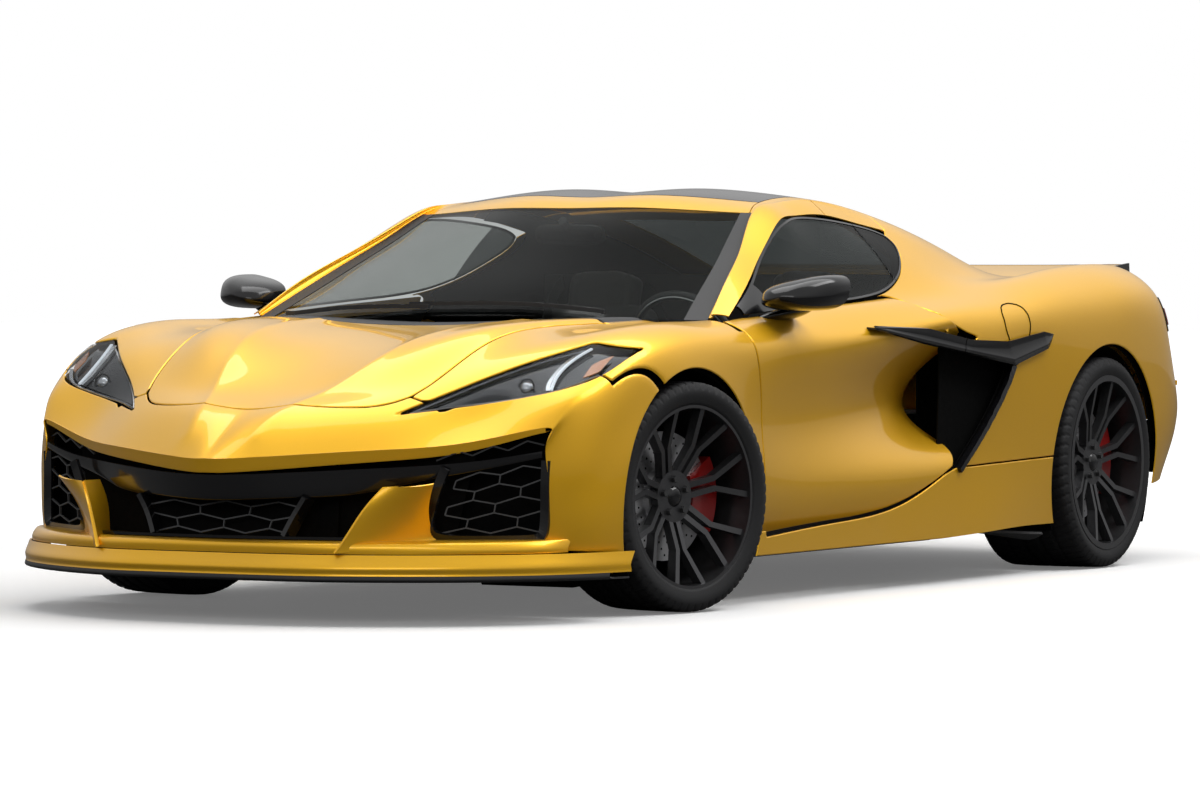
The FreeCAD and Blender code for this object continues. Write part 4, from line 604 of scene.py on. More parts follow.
RAIL_SHARES = straight_runs([(.45, 1.3), (.66, 1.3), (.657, 1.10), (.638, 1.075)]) + [
    [(.638, 1.075), (.58, 1.10), (.45, 1.12)],
    [(.45, 1.12), (.45, 1.3)],
]
PILLAR_FOOT_SHARES = straight_runs([(.118, .80), (.118, 1.3), (.40, 1.3), (.40, .80), (.118, .80)])
SKIRT_SHARES = straight_runs([
    (.10, .143), (.10, .215), (.25, .225), (.40, .245), (.455, .262), (.53, .315), (.60, .362), (.66, .365),
    (.872, .378), (.872, .143), (.10, .143)])
INTAKE_EDGE_SHARES = [(.740, .705), (.718, .62), (.690, .536), (.655, .450), (.605, .352)]
INTAKE_SHARES = [
    [(.55, .735), (.64, .742)],
    [(.64, .742), (.740, .705)],
    INTAKE_EDGE_SHARES,
    [(.605, .352), (.50, .36)],
    [(.50, .36), (.55, .735)],
]
COWL_SHARES = whole_width([
    [(0, .0125), (.30, .0205), (.60, .0475)],
    [(.60, .0475), (.625, .118)],
    [(.625, .118), (.35, .078), (0, .056)],
])
print("outlines drawn")


# %% [markdown]
# ## Finishes
# Every finish is a Principled shader with the detail of the real surface on Object
# coordinates, so that it stays put when a door opens. Car paint is a coloured base with fine
# flakes under a clear coat. Moulded plastic, rubber and leather differ by their grain, and
# machined metal by the direction of its scratches.


# %% Finishes with a grain
def finish(name, colour, rough, grain=0.0, scale=200.0, spread=0.0, stretch=(1, 1, 1), **sockets):
    """Principled finish. Noise on Object coordinates varies the colour by spread and lifts the
    surface by grain metres. Stretch squeezes the noise along an axis, as on brushed metal."""
    material = bpy.data.materials.new(name)
    material.use_nodes = True
    nodes, links = material.node_tree.nodes, material.node_tree.links
    shader = nodes["Principled BSDF"]
    shader.inputs["Base Color"].default_value = (*colour, 1)
    shader.inputs["Roughness"].default_value = rough
    for socket, value in sockets.items():
        shader.inputs[socket.replace("_", " ")].default_value = value
    if grain or spread:
        place = nodes.new("ShaderNodeTexCoord")
        turn = nodes.new("ShaderNodeMapping")
        turn.inputs["Scale"].default_value = stretch
        noise = nodes.new("ShaderNodeTexNoise")
        noise.inputs["Scale"].default_value = scale
        noise.inputs["Detail"].default_value = 3
        links.new(place.outputs["Object"], turn.inputs["Vector"])
        links.new(turn.outputs["Vector"], noise.inputs["Vector"])
        if grain:
            bump = nodes.new("ShaderNodeBump")
            bump.inputs["Distance"].default_value = grain
            links.new(noise.outputs["Fac"], bump.inputs["Height"])
            links.new(bump.outputs["Normal"], shader.inputs["Normal"])
        if spread:
            ramp = nodes.new("ShaderNodeValToRGB")
            low, high = ramp.color_ramp.elements
            low.position, high.position = 0.35, 0.65
            low.color = (*[c * (1 - spread) for c in colour], 1)
            high.color = (*[min(c * (1 + spread), 1) for c in colour], 1)
            links.new(noise.outputs["Fac"], ramp.inputs["Fac"])
            links.new(ramp.outputs["Color"], shader.inputs["Base Color"])
    return material


PAINT = finish(
    "golden_yellow_paint", (0.93, 0.50, 0.014), 0.36, spread=0.05, scale=2600, Metallic=0.55,
    Coat_Weight=0.7, Coat_Roughness=0.03, Coat_IOR=1.38, Specular_IOR_Level=0.2)
GLOSS_BLACK = finish(
    "gloss_black_lacquer", (0.006, 0.006, 0.007), 0.18, spread=0.1, scale=900, Coat_Weight=0.3,
    Coat_Roughness=0.04, Specular_IOR_Level=0.3)
MATT_BLACK = finish("matt_moulded_plastic", (0.018, 0.018, 0.019), 0.62, grain=0.0003, scale=900, spread=0.12)
# Painted shade: a near-black finish for sheets that stand for the shade in openings, holes, gaps and wells.
PAINTED_SHADE_BLACK = finish("shadow_black", (0.004, 0.004, 0.004), 0.95, spread=0.2, scale=60, Specular_IOR_Level=0.05)
RUBBER = finish(
    "tyre_rubber", (0.014, 0.014, 0.015), 0.66, grain=0.0004, scale=500, spread=0.15, Specular_IOR_Level=0.3)
GRAPHITE = finish(
    "satin_graphite", (0.075, 0.075, 0.078), 0.32, grain=0.0001, scale=1500, spread=0.06, Metallic=0.75)
DISC_IRON = finish("ground_iron", (0.55, 0.55, 0.56), 0.34, grain=0.0001, scale=700, spread=0.1, Metallic=0.9)
CALIPER_RED = finish("red_enamel", (0.42, 0.012, 0.010), 0.28, spread=0.06, scale=600, Coat_Weight=0.7)
CAST = finish("cast_aluminium", (0.42, 0.42, 0.43), 0.5, grain=0.0006, scale=350, spread=0.12, Metallic=0.8)
SATIN_BLACK = finish("satin_black_steel", (0.03, 0.03, 0.031), 0.45, grain=0.0002, scale=500, spread=0.1)
STEEL = finish(
    "brushed_steel", (0.48, 0.48, 0.49), 0.26, grain=0.0001, scale=300, stretch=(1, 0.04, 1), Metallic=1.0)
LEATHER = finish(
    "black_leather", (0.12, 0.118, 0.116), 0.5, grain=0.00003, scale=260, spread=0.12, Sheen_Weight=0.1)
TRIM = finish("cabin_trim", (0.05, 0.05, 0.051), 0.58, grain=0.00005, scale=650, spread=0.1)
RED_LENS = finish("red_lamp_lens", (0.22, 0.006, 0.008), 0.12, spread=0.15, scale=500, Coat_Weight=1.0)
SILVER = finish("satin_silver", (0.55, 0.56, 0.57), 0.24, spread=0.05, scale=800, Metallic=0.9)
MESH_GREY = finish("satin_grey_mesh", (0.055, 0.056, 0.058), 0.4, spread=0.1, scale=400, Metallic=0.3)


print(len(bpy.data.materials), "finishes")


# %% [markdown]
# ## Glass
# Window glass is clear when looked through squarely and mirrors at flat angles. Refraction
# would only add noise in so thin a pane, so a transparent face is mixed with a gloss one.

# %% Glass and lamp light
GLASS_INDEX = 1.5


def glass(name, tint, clear):
    """Tinted safety glass: a clear share lets the view through in the tint, the rest is a
    gloss face. The gloss grows at flat angles by Fresnel's law, whose index is turned over
    on back faces, because a pane has two."""
    material = bpy.data.materials.new(name)
    material.use_nodes = True
    nodes, links = material.node_tree.nodes, material.node_tree.links
    shader = nodes["Principled BSDF"]
    shader.inputs["Base Color"].default_value = (0.004, 0.005, 0.005, 1)
    shader.inputs["Roughness"].default_value = 0.02
    through = nodes.new("ShaderNodeBsdfTransparent")
    through.inputs["Color"].default_value = (*tint, 1)
    edge = nodes.new("ShaderNodeFresnel")
    side = nodes.new("ShaderNodeNewGeometry")
    index = nodes.new("ShaderNodeMapRange")
    index.inputs["To Min"].default_value = GLASS_INDEX
    index.inputs["To Max"].default_value = 1 / GLASS_INDEX
    links.new(side.outputs["Backfacing"], index.inputs["Value"])
    links.new(index.outputs["Result"], edge.inputs["IOR"])
    share = nodes.new("ShaderNodeMapRange")
    share.inputs["To Min"].default_value = 1 - clear
    links.new(edge.outputs["Fac"], share.inputs["Value"])
    mix = nodes.new("ShaderNodeMixShader")
    links.new(share.outputs["Result"], mix.inputs["Fac"])
    links.new(through.outputs["BSDF"], mix.inputs[1])
    links.new(shader.outputs["BSDF"], mix.inputs[2])
    links.new(mix.outputs["Shader"], nodes["Material Output"].inputs["Surface"])
    return material


WINDOW = glass("window_glass", (0.82, 0.84, 0.83), 0.97)
DARK_GLASS = glass("privacy_glass", (0.34, 0.36, 0.36), 0.88)
LENS = glass("lamp_lens", (0.95, 0.96, 0.97), 0.98)
LIGHT_STRIP = finish(
    "white_light_strip", (0.85, 0.90, 0.95), 0.3, spread=0.03, scale=300,
    Emission_Color=(0.85, 0.90, 0.95, 1), Emission_Strength=0.5)
AMBER = finish("amber_lens", (0.75, 0.22, 0.01), 0.2, spread=0.1, scale=400, Coat_Weight=1.0)
print(len(bpy.data.materials), "materials")

# %% [markdown]
# ## The studio
# The picture this part follows was taken from low down, far away and with a long lens, so
# the lines stay almost parallel. A white room lights the car from all sides, and a large
# soft panel above gives the long highlights that explain the shape of the sheet metal. In
# what the paint mirrors the room grows darker towards the floor, which leaves the lower
# half of the car in its own deeper colour.

# %% Camera
camera_data = bpy.data.cameras.new("camera")
camera_data.lens = 168.64
camera_data.sensor_width = 36
camera_data.shift_x = -2 / 1200
camera_data.clip_end = 200
camera = bpy.data.objects.new("camera", camera_data)
camera.location = (8.614, -15.313, 0.993)
camera.rotation_euler = (math.radians(90 - 1.39), 0, math.radians(29.58))
bpy.context.scene.collection.objects.link(camera)
bpy.context.scene.camera = camera
bpy.context.scene.view_settings.view_transform = "Standard"
print("camera", [round(v, 3) for v in camera.location], "lens", camera_data.lens)


# %% [markdown]
# ### The white room
# The camera sees a plain white room. Rays that mirror in the paint see it darker, and
# darkest towards the floor, which draws the soft shadow line along the flanks.

# %% The white room
def smooth_ramp(nodes, start, end, low, high):
    """Node that rises from low at the start to high at the end by the smooth step."""
    ramp = nodes.new("ShaderNodeMapRange")
    ramp.interpolation_type = "SMOOTHSTEP"
    for socket, value in zip(("From Min", "From Max", "To Min", "To Max"), (start, end, low, high)):
        ramp.inputs[socket].default_value = value
    return ramp


world = bpy.data.worlds.new("white_room")
bpy.context.scene.world = world
world.use_nodes = True
nodes, links = world.node_tree.nodes, world.node_tree.links
room = nodes["Background"]
room.inputs["Color"].default_value = (1, 1, 1, 1)
path = nodes.new("ShaderNodeLightPath")
seen = nodes.new("ShaderNodeMath")
seen.operation = "MAXIMUM"
mirrored_level = nodes.new("ShaderNodeMapRange")
mirrored_level.inputs["To Min"].default_value = 0.24
direction = nodes.new("ShaderNodeTexCoord")
height = nodes.new("ShaderNodeSeparateXYZ")
MIRRORED_LOW, MIRRORED_HIGH = 0.30, 0.80
dusk = smooth_ramp(nodes, -0.05, 0.45, MIRRORED_LOW, MIRRORED_HIGH)
links.new(direction.outputs["Generated"], height.inputs["Vector"])
links.new(height.outputs["Z"], dusk.inputs["Value"])
links.new(dusk.outputs["Result"], mirrored_level.inputs["To Max"])
level = nodes.new("ShaderNodeMix")
level.inputs["B"].default_value = 1.0
links.new(path.outputs["Is Camera Ray"], seen.inputs[0])
links.new(path.outputs["Is Transmission Ray"], seen.inputs[1])
links.new(path.outputs["Is Glossy Ray"], mirrored_level.inputs["Value"])
links.new(seen.outputs["Value"], level.inputs["Factor"])
links.new(mirrored_level.outputs["Result"], level.inputs["A"])
links.new(level.outputs["Result"], room.inputs["Strength"])


print("level from", MIRRORED_LOW, "to", MIRRORED_HIGH)


# %% [markdown]
# ### Soft panels and floor
# Three rectangular lights lay long highlights on roof, nose and flank. The floor is bright
# for the camera and dull for the paint, and fades into the white of the room.

# %% Soft panels and floor
def soft_panel(name, place, aim, size, power):
    """Square light that faces a point."""
    light = bpy.data.lights.new(name, "AREA")
    light.shape = "RECTANGLE"
    light.size, light.size_y = size
    light.energy = power
    made = bpy.data.objects.new(name, light)
    away = np.array(place, float) - np.array(aim, float)
    made.location = place
    made.rotation_euler = (
        math.atan2(math.hypot(away[0], away[1]), away[2]), 0, math.atan2(away[0], -away[1]))
    bpy.context.scene.collection.objects.link(made)
    return made


soft_panel("ceiling_panel", (0.8, 0.4, 5.5), (0, 0.2, 0.5), (5.0, 9.0), 340)
soft_panel("nose_panel", (3.0, -9.0, 3.2), (0, -1, 0.5), (5.0, 2.5), 95)
soft_panel("side_panel", (5.0, 1.5, 6.0), (0.6, 0.8, 0.6), (6.0, 2.5), 150)

FLOOR = bpy.data.materials.new("pale_floor")
FLOOR.use_nodes = True
nodes, links = FLOOR.node_tree.nodes, FLOOR.node_tree.links
shader = nodes["Principled BSDF"]
floor_tone = nodes.new("ShaderNodeMix")
floor_tone.data_type = "RGBA"
floor_tone.inputs["A"].default_value = (0.14, 0.14, 0.14, 1)
floor_tone.inputs["B"].default_value = (1, 1, 1, 1)
links.new(floor_tone.outputs["Result"], shader.inputs["Base Color"])
shader.inputs["Roughness"].default_value = 0.6
shader.inputs["Specular IOR Level"].default_value = 0.1
shader.inputs["Emission Color"].default_value = (1, 1, 1, 1)
path = nodes.new("ShaderNodeLightPath")
place = nodes.new("ShaderNodeTexCoord")
far = nodes.new("ShaderNodeVectorMath")
far.operation = "LENGTH"
fade = smooth_ramp(nodes, 2.6, 6.5, 0.14, 1.0)
links.new(place.outputs["Object"], far.inputs[0])
links.new(far.outputs["Value"], fade.inputs["Value"])
lift = nodes.new("ShaderNodeMath")
lift.operation = "MULTIPLY"
links.new(fade.outputs["Result"], lift.inputs[1])
links.new(path.outputs["Is Camera Ray"], floor_tone.inputs["Factor"])
links.new(path.outputs["Is Camera Ray"], lift.inputs[0])
links.new(lift.outputs["Value"], shader.inputs["Emission Strength"])
floor_mesh = bpy.data.meshes.new("studio_floor")
floor_mesh.from_pydata([(-60, -60, 0), (60, -60, 0), (60, 60, 0), (-60, 60, 0)], [], [(0, 1, 2, 3)])
floor_mesh.materials.append(FLOOR)
studio_floor = bpy.data.objects.new("studio_floor", floor_mesh)
bpy.context.scene.collection.objects.link(studio_floor)
print(sum(light.type == "AREA" for light in bpy.data.lights), "soft panels over the floor")

# %% [markdown]
# ## Finishes for the solids that stay
# Discs, uprights, arms, the engine block and the floor keep their CAD solids. Each gets the
# finish of its slot in the record.

# %% Dress the CAD nodes
SLOT_FINISH = {
    "body_paint": PAINT, "tyre": RUBBER, "wheel_paint": GRAPHITE, "disc_iron": DISC_IRON,
    "caliper_paint": CALIPER_RED, "cast_metal": CAST, "dark_metal": SATIN_BLACK, "bright_steel": STEEL,
    "glass": WINDOW, "lamp_glass": LENS, "red_lens": RED_LENS, "leather": LEATHER,
    "interior_trim": TRIM, "tub_paint": SATIN_BLACK, "gloss_black": GLOSS_BLACK, "matt_black": MATT_BLACK,
}
for subpart in frame["record"]["subparts"]:
    node = frame["nodes"][subpart["node"]]
    if not node.material_slots:
        continue
    for spot in node.material_slots:
        spot.link = "OBJECT"
        spot.material = SLOT_FINISH[subpart["material_slot"]]
print(len(frame["nodes"]), "nodes dressed")


# %% [markdown]
# ## Panels in the front
# The hood, the nose and the fenders share one net, so highlights run from one to the next
# without a kink. Each panel is the same surface cut by other outlines. The outlines are
# drawn with listed shares in the view in which the real shut line is simplest.

# %% Hood, nose and fenders
hood_line = plan_outline(HOOD_SHARES)
fascia_line = plan_outline(FASCIA_SHARES)
lamp_line = front_outline(LAMP_SHARES)
door_line = side_outline(DOOR_SHARES)
window_line = side_outline(WINDOW_SHARES)
rail_line = side_outline(RAIL_SHARES)
foot_line = side_outline(PILLAR_FOOT_SHARES)
skirt_line = side_outline(SKIRT_SHARES)
intake_line = side_outline(INTAKE_SHARES)
cowl_line = plan_outline(COWL_SHARES)
FRONT_ARCH = FRONT_Y - 0.030, 0.300
REAR_ARCH = REAR_Y - 0.004, 0.325
front_arch = circle_outside(*FRONT_ARCH, 0.395)
rear_arch = circle_outside(*REAR_ARCH, 0.403)
HOOD_FOLD_SHARES = [
    (.115, -2.27), (.150, -2.13), (.205, -1.98), (.255, -1.82), (.305, -1.62), (.335, -1.42), (.350, -1.20)]
fold_line = spline(np.array(HOOD_FOLD_SHARES), np.linspace(0, 6, 40))


def hood_folds(points):
    """The fold on each side of the hood: a ridge 7 mm high that falls by exp(-d / 35 mm) with
    the distance d from its line, beside it and past its ends."""
    distance = line_distance(np.abs(points[:, :2]) * [1, -1], fold_line)
    return 0.007 * np.exp(-distance / 0.035)


hood = skin(FRONT, (1, 7.1), (-3, 3), [hood_line], depth=0.010, cell=0.009, lift=hood_folds)
put("hood_skin", hood, PAINT, "hood", ["hood"])
nose_fields = [fascia_line, outside(hood_line), outside(lamp_line), front_arch]
nose = skin(FRONT, (0, 5.5), (-9, 9), nose_fields, lift=hood_folds)
put("nose_skin", nose, PAINT, "car", ["front_fascia"])
fender_lines = fascia_line, hood_line, lamp_line, door_line, skirt_line, foot_line
fender_fields = [outside(line) for line in fender_lines]
fender = skin(FRONT, (1.5, 9), (2, 9), fender_fields + [front_arch])
put("fender_skins", both_sides(fender), PAINT, "car", ["front_fenders"])
for name in ("hood_skin", "nose_skin", "fender_skins"):
    print(name, triangles_of(name), "triangles")

# %% [markdown]
# ## Doors, hips and skirts
# The door skin starts at the belt line, turns in at a hard shoulder, dives into the intake at
# its rear and tucks under at the sill. The hips come from the rear net and take over where
# the door ends.

# %% Doors, quarters, skirts
door = skin(FRONT, (7.2, 13.2), (3.9, 9), [door_line], depth=0.040, cell=0.011)
put_pair("door_skin", door, PAINT, "door", ["door"])
quarter_fields = [outside(line) for line in (rail_line, window_line, door_line, skirt_line, intake_line)]
quarter = skin(REAR, (5.6, 17), (2, 11), quarter_fields + [rear_arch])
put("quarter_skins", both_sides(quarter), PAINT, "car", ["rear_quarters"])
skirt = skin(REAR, (-0.35, 12), (9, 11.6), [skirt_line, outside(door_line), front_arch, rear_arch])
put("skirt_skins", both_sides(skirt), PAINT, "car", ["side_skirts"])
for name in ("door_skin_left", "quarter_skins", "skirt_skins"):
    print(name, triangles_of(name), "triangles")

# %% [markdown]
# ## Roof, glass and rear lid
# The roof panel is black and sits between a painted header, painted rails and a painted bow,
# as on cars whose roof comes off. The panes follow the same net.

# %% Roof, rails, panes and lid
put("roof_skin", skin(REAR, (5.02, 7.18), (-1.985, 1.985)), GLOSS_BLACK, "car", ["roof_panel"])
header = skin(REAR, (4.01, 4.98), (-1.99, 1.99))
bow = skin(REAR, (7.21, 7.68), (-1.99, 1.99))
RAIL_JOINT_Y = 0.142
rail_front = skin(REAR, (0.1, 8.6), (2.01, 4.03), [ahead_of(RAIL_JOINT_Y)], hem=0)
rail_rear = skin(REAR, (4.8, 8.7), (2.01, 4.03), [rail_line, outside(ahead_of(RAIL_JOINT_Y))], hem=0)
roof_frame = joined(header, bow, both_sides(joined(rail_front, rail_rear)))
put("roof_frame", roof_frame, PAINT, "car", ["cabin_frame"])
windshield = skin(REAR, (0.02, 3.98), (-1.98, 1.98), depth=0.005, hem=0, cell=0.03)
put("windshield", windshield, WINDOW, "car", ["fixed_glass"])
edge_band = skin(REAR, (0.02, 3.98), (1.86, 2.24), depth=0.003, hem=0, cell=0.02, lift=0.0012)
put("windshield_edge_bands", both_sides(edge_band), MATT_BLACK, "car")
side_glass = [window_line, outside(door_line)]
GLASS_JOINT_SHARE = 0.575
on_door = ahead_of(float(along(GLASS_JOINT_SHARE)))
PANE_PATCH = (0.4, 8.3), (4.12, 6.4)
door_pane = skin(REAR, *PANE_PATCH, side_glass + [on_door], depth=0.005, cell=0.02)
quarter_pane = skin(REAR, *PANE_PATCH, side_glass + [outside(on_door)], depth=0.005, cell=0.02)
put_pair("door_pane", door_pane, WINDOW, "door", ["door_glass"])
put("quarter_panes", both_sides(quarter_pane), DARK_GLASS, "car")


def net_box(net, stations, lines):
    """Distance inside a patch, for points of the same net: the smallest of the distances to
    the lines and stations that bound it, measured on a rough copy of the patch."""
    edge = surface(net, np.linspace(*stations, 30), np.linspace(*lines, 30))
    loop = np.concatenate([edge[:, 0], edge[-1, 1:], edge[::-1, -1][1:], edge[0, ::-1][1:-1]])[:, :2]
    return lambda points: inside_distance(points[:, :2], loop)


lid_window = net_box(REAR, (8.2, 11.4), (-1.5, 1.5))
rear_lid = skin(REAR, (7.73, 13), (-1.96, 1.96), [outside(lid_window)], depth=0.010)
put("rear_lid", rear_lid, PAINT, "rear_hatch", ["rear_hatch"])
lid_pane = skin(REAR, (8.2, 11.4), (-1.49, 1.49), depth=0.005, cell=0.03, lift=-0.001)
put("lid_pane", lid_pane, DARK_GLASS, "rear_hatch", ["hatch_glass"])
put("deck_skin", skin(REAR, (13.05, 17), (-1.98, 1.98)), PAINT, "car", ["rear_deck"])
cowl = skin(FRONT, (6, 9.4), (-3, 3), [cowl_line], cell=0.02)
put("cowl_skin", cowl, MATT_BLACK, "car", ["cowl"])
print(triangles_in_all(), "triangles so far")

# %% [markdown]
# ## Pieces from grids and paths
# Small trim is either a plate, which is a grid with a thickness, or a bar, which is a section
# carried along a path. Both close themselves, so they look right from behind.


# %% Plates and bars
def plate(grid, depth):
    """A grid of points with a thickness below it."""
    grid = np.asarray(grid, float)
    faces = grid_faces(*grid.shape[:2])
    normals = grid_normals(grid).reshape(-1, 3)
    points = grid.reshape(-1, 3)
    if np.dot(face_normals(points, faces)[0], normals[faces[0, 0]]) < 0:
        faces = faces[:, ::-1]
    return thicken(points, faces, normals, depth)


def between_lines(one, other, rows=6, bulge=0.0):
    """Grid from one line of points to another. The bulge pushes the middle out by the parabola
    4 b t (1 - t)."""
    one, other = np.asarray(one, float), np.asarray(other, float)
    t = np.linspace(0, 1, rows)[:, None, None]
    grid = one * (1 - t) + other * t
    return grid + grid_normals(grid) * (4 * bulge * t * (1 - t)) if bulge else grid


def smooth_line(points, count=24):
    """Even points along the natural spline through a few given ones."""
    return spline(points, np.linspace(0, len(points) - 1, count))


def bar(path, section, up=(0, 0, 1)):
    """A closed section carried along a path. At each point the frame is the path's direction,
    the side that is square to it and up, and the third one square to both."""
    path, section = np.asarray(path, float), np.asarray(section, float)
    way = unit(np.gradient(path, axis=0))
    side = unit(np.cross(way, np.broadcast_to(np.asarray(up, float), way.shape)))
    rise = np.cross(side, way)
    rings = path[:, None] + section[:, 0, None] * side[:, None] + section[:, 1, None] * rise[:, None]
    count, around = rings.shape[:2]
    start, end = np.arange(around), (count - 1) * around + np.arange(around)
    caps = np.concatenate([
        np.column_stack([np.full(around - 2, start[0]), start[1:-1], start[2:]]),
        np.column_stack([np.full(around - 2, end[0]), end[2:], end[1:-1]])])
    points = rings.reshape(-1, 3)
    faces = np.concatenate([tube_faces(count, around), caps])
    faces = facing_out(points, faces, path[faces[:, 0] // around])
    return points, faces, flat_corners(points, faces)


def flat_section(width, height):
    w, h = width / 2, height / 2
    return [(-w, -h), (w, -h), (w, h), (-w, h)]


def circle_of(count, radius, start=0.0):
    turn = start + np.linspace(0, 2 * math.pi, count, endpoint=False)
    return np.column_stack([np.cos(turn), np.sin(turn)]) * radius


print("a flat section has", len(flat_section(1, 1)), "corners")


# %% [markdown]
# ### Honeycomb
# A mesh is drawn as single wires in a patch between four corners. Sharing the edges between
# neighbouring cells keeps every wire drawn once.

# %% Patches and honeycomb
def patch(corners):
    """Bilinear patch of four corners, as a function of two shares from 0 to 1."""
    a, b, c, d = [np.array(corner, float) for corner in corners]

    def at(u, v):
        u, v = np.asarray(u)[..., None], np.asarray(v)[..., None]
        return (a * (1 - u) + b * u) * (1 - v) + (d * (1 - u) + c * u) * v
    return at


def shares_grid(count):
    return np.meshgrid(np.linspace(0, 1, count), np.linspace(0, 1, count), indexing="ij")


def honeycomb(at, columns, rows, wire, depth):
    """Wires of a honeycomb on a patch. A lattice point repeats every column, each second row is
    half a cell over, and each cell has three of its six edges, so that none is drawn twice."""
    i, j = np.meshgrid(np.arange(-1, columns + 1), np.arange(-1, rows + 1), indexing="ij")
    x = (i + 0.5 * (j % 2)).ravel() / columns
    y = j.ravel() / rows
    w, h = 1 / columns, 1 / rows
    a = np.column_stack([x, y + h * 0.30])
    b = np.column_stack([x, y - h * 0.30])
    c = np.column_stack([x + w / 2, y + h * 0.70])
    d = np.column_stack([x - w / 2, y + h * 0.70])
    starts = np.concatenate([a, a, a])
    ends = np.concatenate([b, c, d])
    inside = ((np.clip(starts, 0, 1) == starts).all(1)) & ((np.clip(ends, 0, 1) == ends).all(1))
    starts, ends = starts[inside], ends[inside]
    p, q = at(*starts.T), at(*ends.T)
    out = unit(np.cross(at(1.0, 0.5) - at(0.0, 0.5), at(0.5, 1.0) - at(0.5, 0.0)))
    way = unit(q - p)
    side = unit(np.cross(way, out)) * wire / 2
    deep = out * depth
    ring = [step for end in (p, q) for step in (end - side, end + side, end + side - deep, end - side - deep)]
    points = np.stack(ring, axis=1).reshape(-1, 3)
    box = np.concatenate([tube_faces(2, 4)[:, ::-1], [(0, 3, 2), (0, 2, 1), (4, 5, 6), (4, 6, 7)]])
    faces = (np.arange(len(p))[:, None, None] * 8 + box).reshape(-1, 3)
    faces = facing_out(points, faces, np.repeat(points.reshape(-1, 8, 3).mean(1), 12, axis=0))
    return points, faces, flat_corners(points, faces)


print("a patch runs over", shares_grid(2)[0].size, "corners")

# %% [markdown]
# ## The nose
# The painted nose ends in a narrow facet that turns under. Below it a gloss bar spans the
# car and runs out into thin blades over the side intakes. Painted strakes part the middle
# opening from the side ones, and a painted splitter with a black foot closes the face.

# %% Beak, bar, strakes and splitter
BEAK_DROP_SHARES = [.036, .034, .030, .024, .016, .010]
beak = surface(FRONT, [0], np.linspace(-4, 4, 81))[0]
drop = np.interp(np.abs(beak[:, 0]), [0, .2, .4, .6, .75, .84], BEAK_DROP_SHARES)
under = beak + np.column_stack([np.zeros(81), drop * 0.2, -drop])
inner_lip = under + [0, 0.03, 0.004]
facet = plate(between_lines(beak + [0, 0.001, 0.001], under, 4), 0.003)
facet_lip = plate(between_lines(under, inner_lip, 3), 0.003)
put("beak_facet", joined(facet, facet_lip), PAINT, "car")


def face_net(profiles):
    """Net of a front or rear face: profiles across the car, each from its first edge."""
    table = np.array(profiles, float)
    return np.stack([table[..., 0], along(table[..., 1]), table[..., 2]], axis=2)


BAR_SHARES = [
    [(0, -.968, .338), (0, -.979, .352), (0, -.988, .41)],
    [(.20, -.930, .345), (.20, -.939, .358), (.20, -.945, .416)],
    [(.38, -.848, .356), (.38, -.855, .37), (.38, -.860, .426)],
    [(.52, -.770, .388), (.52, -.775, .398), (.52, -.778, .434)],
    [(.68, -.690, .423), (.68, -.693, .43), (.68, -.694, .449)],
    [(.83, -.603, .459), (.83, -.605, .464), (.83, -.605, .476)],
]
bar_grid = surface(face_net(BAR_SHARES), np.linspace(0, 2, 12), np.linspace(-5, 5, 120))
put("grille_blade", plate(bar_grid, 0.012), GLOSS_BLACK, "car", ["grille_bar"])
STRAKE_FRONT_SHARES = [(.392, -2.312, .200), (.415, -2.292, .24), (.455, -2.262, .315), (.50, -2.228, .378)]
STRAKE_BACK_SHARES = [(.60, -2.085, .222), (.578, -2.10, .25), (.585, -2.135, .32), (.622, -2.168, .392)]
STRAKE_INNER_SHARES = [(.43, -2.20, .226), (.44, -2.19, .25), (.46, -2.17, .315), (.50, -2.15, .378)]
front_edge = smooth_line(STRAKE_FRONT_SHARES)
strake_face = between_lines(smooth_line(STRAKE_BACK_SHARES), front_edge, 14, 0.006)
strake_inside = between_lines(front_edge, smooth_line(STRAKE_INNER_SHARES), 8)
strake = joined(plate(strake_face[:, ::-1], 0.005), plate(strake_inside[:, ::-1], 0.005))
put("strakes", both_sides(strake), PAINT, "car")

SHELF_SHARES = [
    [(0, -.974, .197), (0, -.975, .212), (0, -.963, .229), (0, -.90, .233), (0, -.80, .233)],
    [(.20, -.970, .197), (.20, -.971, .212), (.20, -.958, .229), (.20, -.89, .233), (.20, -.79, .233)],
    [(.38, -.942, .197), (.38, -.943, .212), (.38, -.928, .229), (.38, -.86, .233), (.38, -.76, .233)],
    [(.60, -.852, .197), (.60, -.852, .212), (.60, -.838, .229), (.60, -.78, .233), (.60, -.70, .233)],
    [(.82, -.685, .197), (.82, -.685, .212), (.82, -.668, .229), (.82, -.64, .233), (.82, -.58, .233)],
    [(.885, -.560, .197), (.885, -.560, .212), (.885, -.545, .229), (.885, -.53, .233), (.885, -.50, .233)],
]
shelf = plate(surface(face_net(SHELF_SHARES), np.linspace(0, 4, 24), np.linspace(-5, 5, 110)), 0.005)
put("lower_shelf", shelf, PAINT, "car", ["front_shelf"])
LIP_PLAN_SHARES = [
    (0, -.997), (.20, -.993), (.376, -.968), (.60, -.875), (.80, -.735), (.92, -.575), (.985, -.40)]
LIP_STEP_SHARES = [(.10, .118), (.006, .122), (.003, .140), (0, .157), (.010, .177), (.021, .195)]
LIP_SHARES = [[(x, y + back, z) for back, z in LIP_STEP_SHARES] for x, y in LIP_PLAN_SHARES]
splitter = surface(face_net(LIP_SHARES), np.linspace(1.9, 5, 20), np.linspace(-6, 6, 200))
foot = surface(face_net(LIP_SHARES), np.linspace(0, 1.88, 10), np.linspace(-5.6, 5.6, 160))
put("splitter", plate(splitter, 0.005), PAINT, "car", ["front_lip"])
put("splitter_foot", plate(foot, 0.005), MATT_BLACK, "car")
print("bar", triangles_of("grille_blade"), "splitter", triangles_of("splitter"))

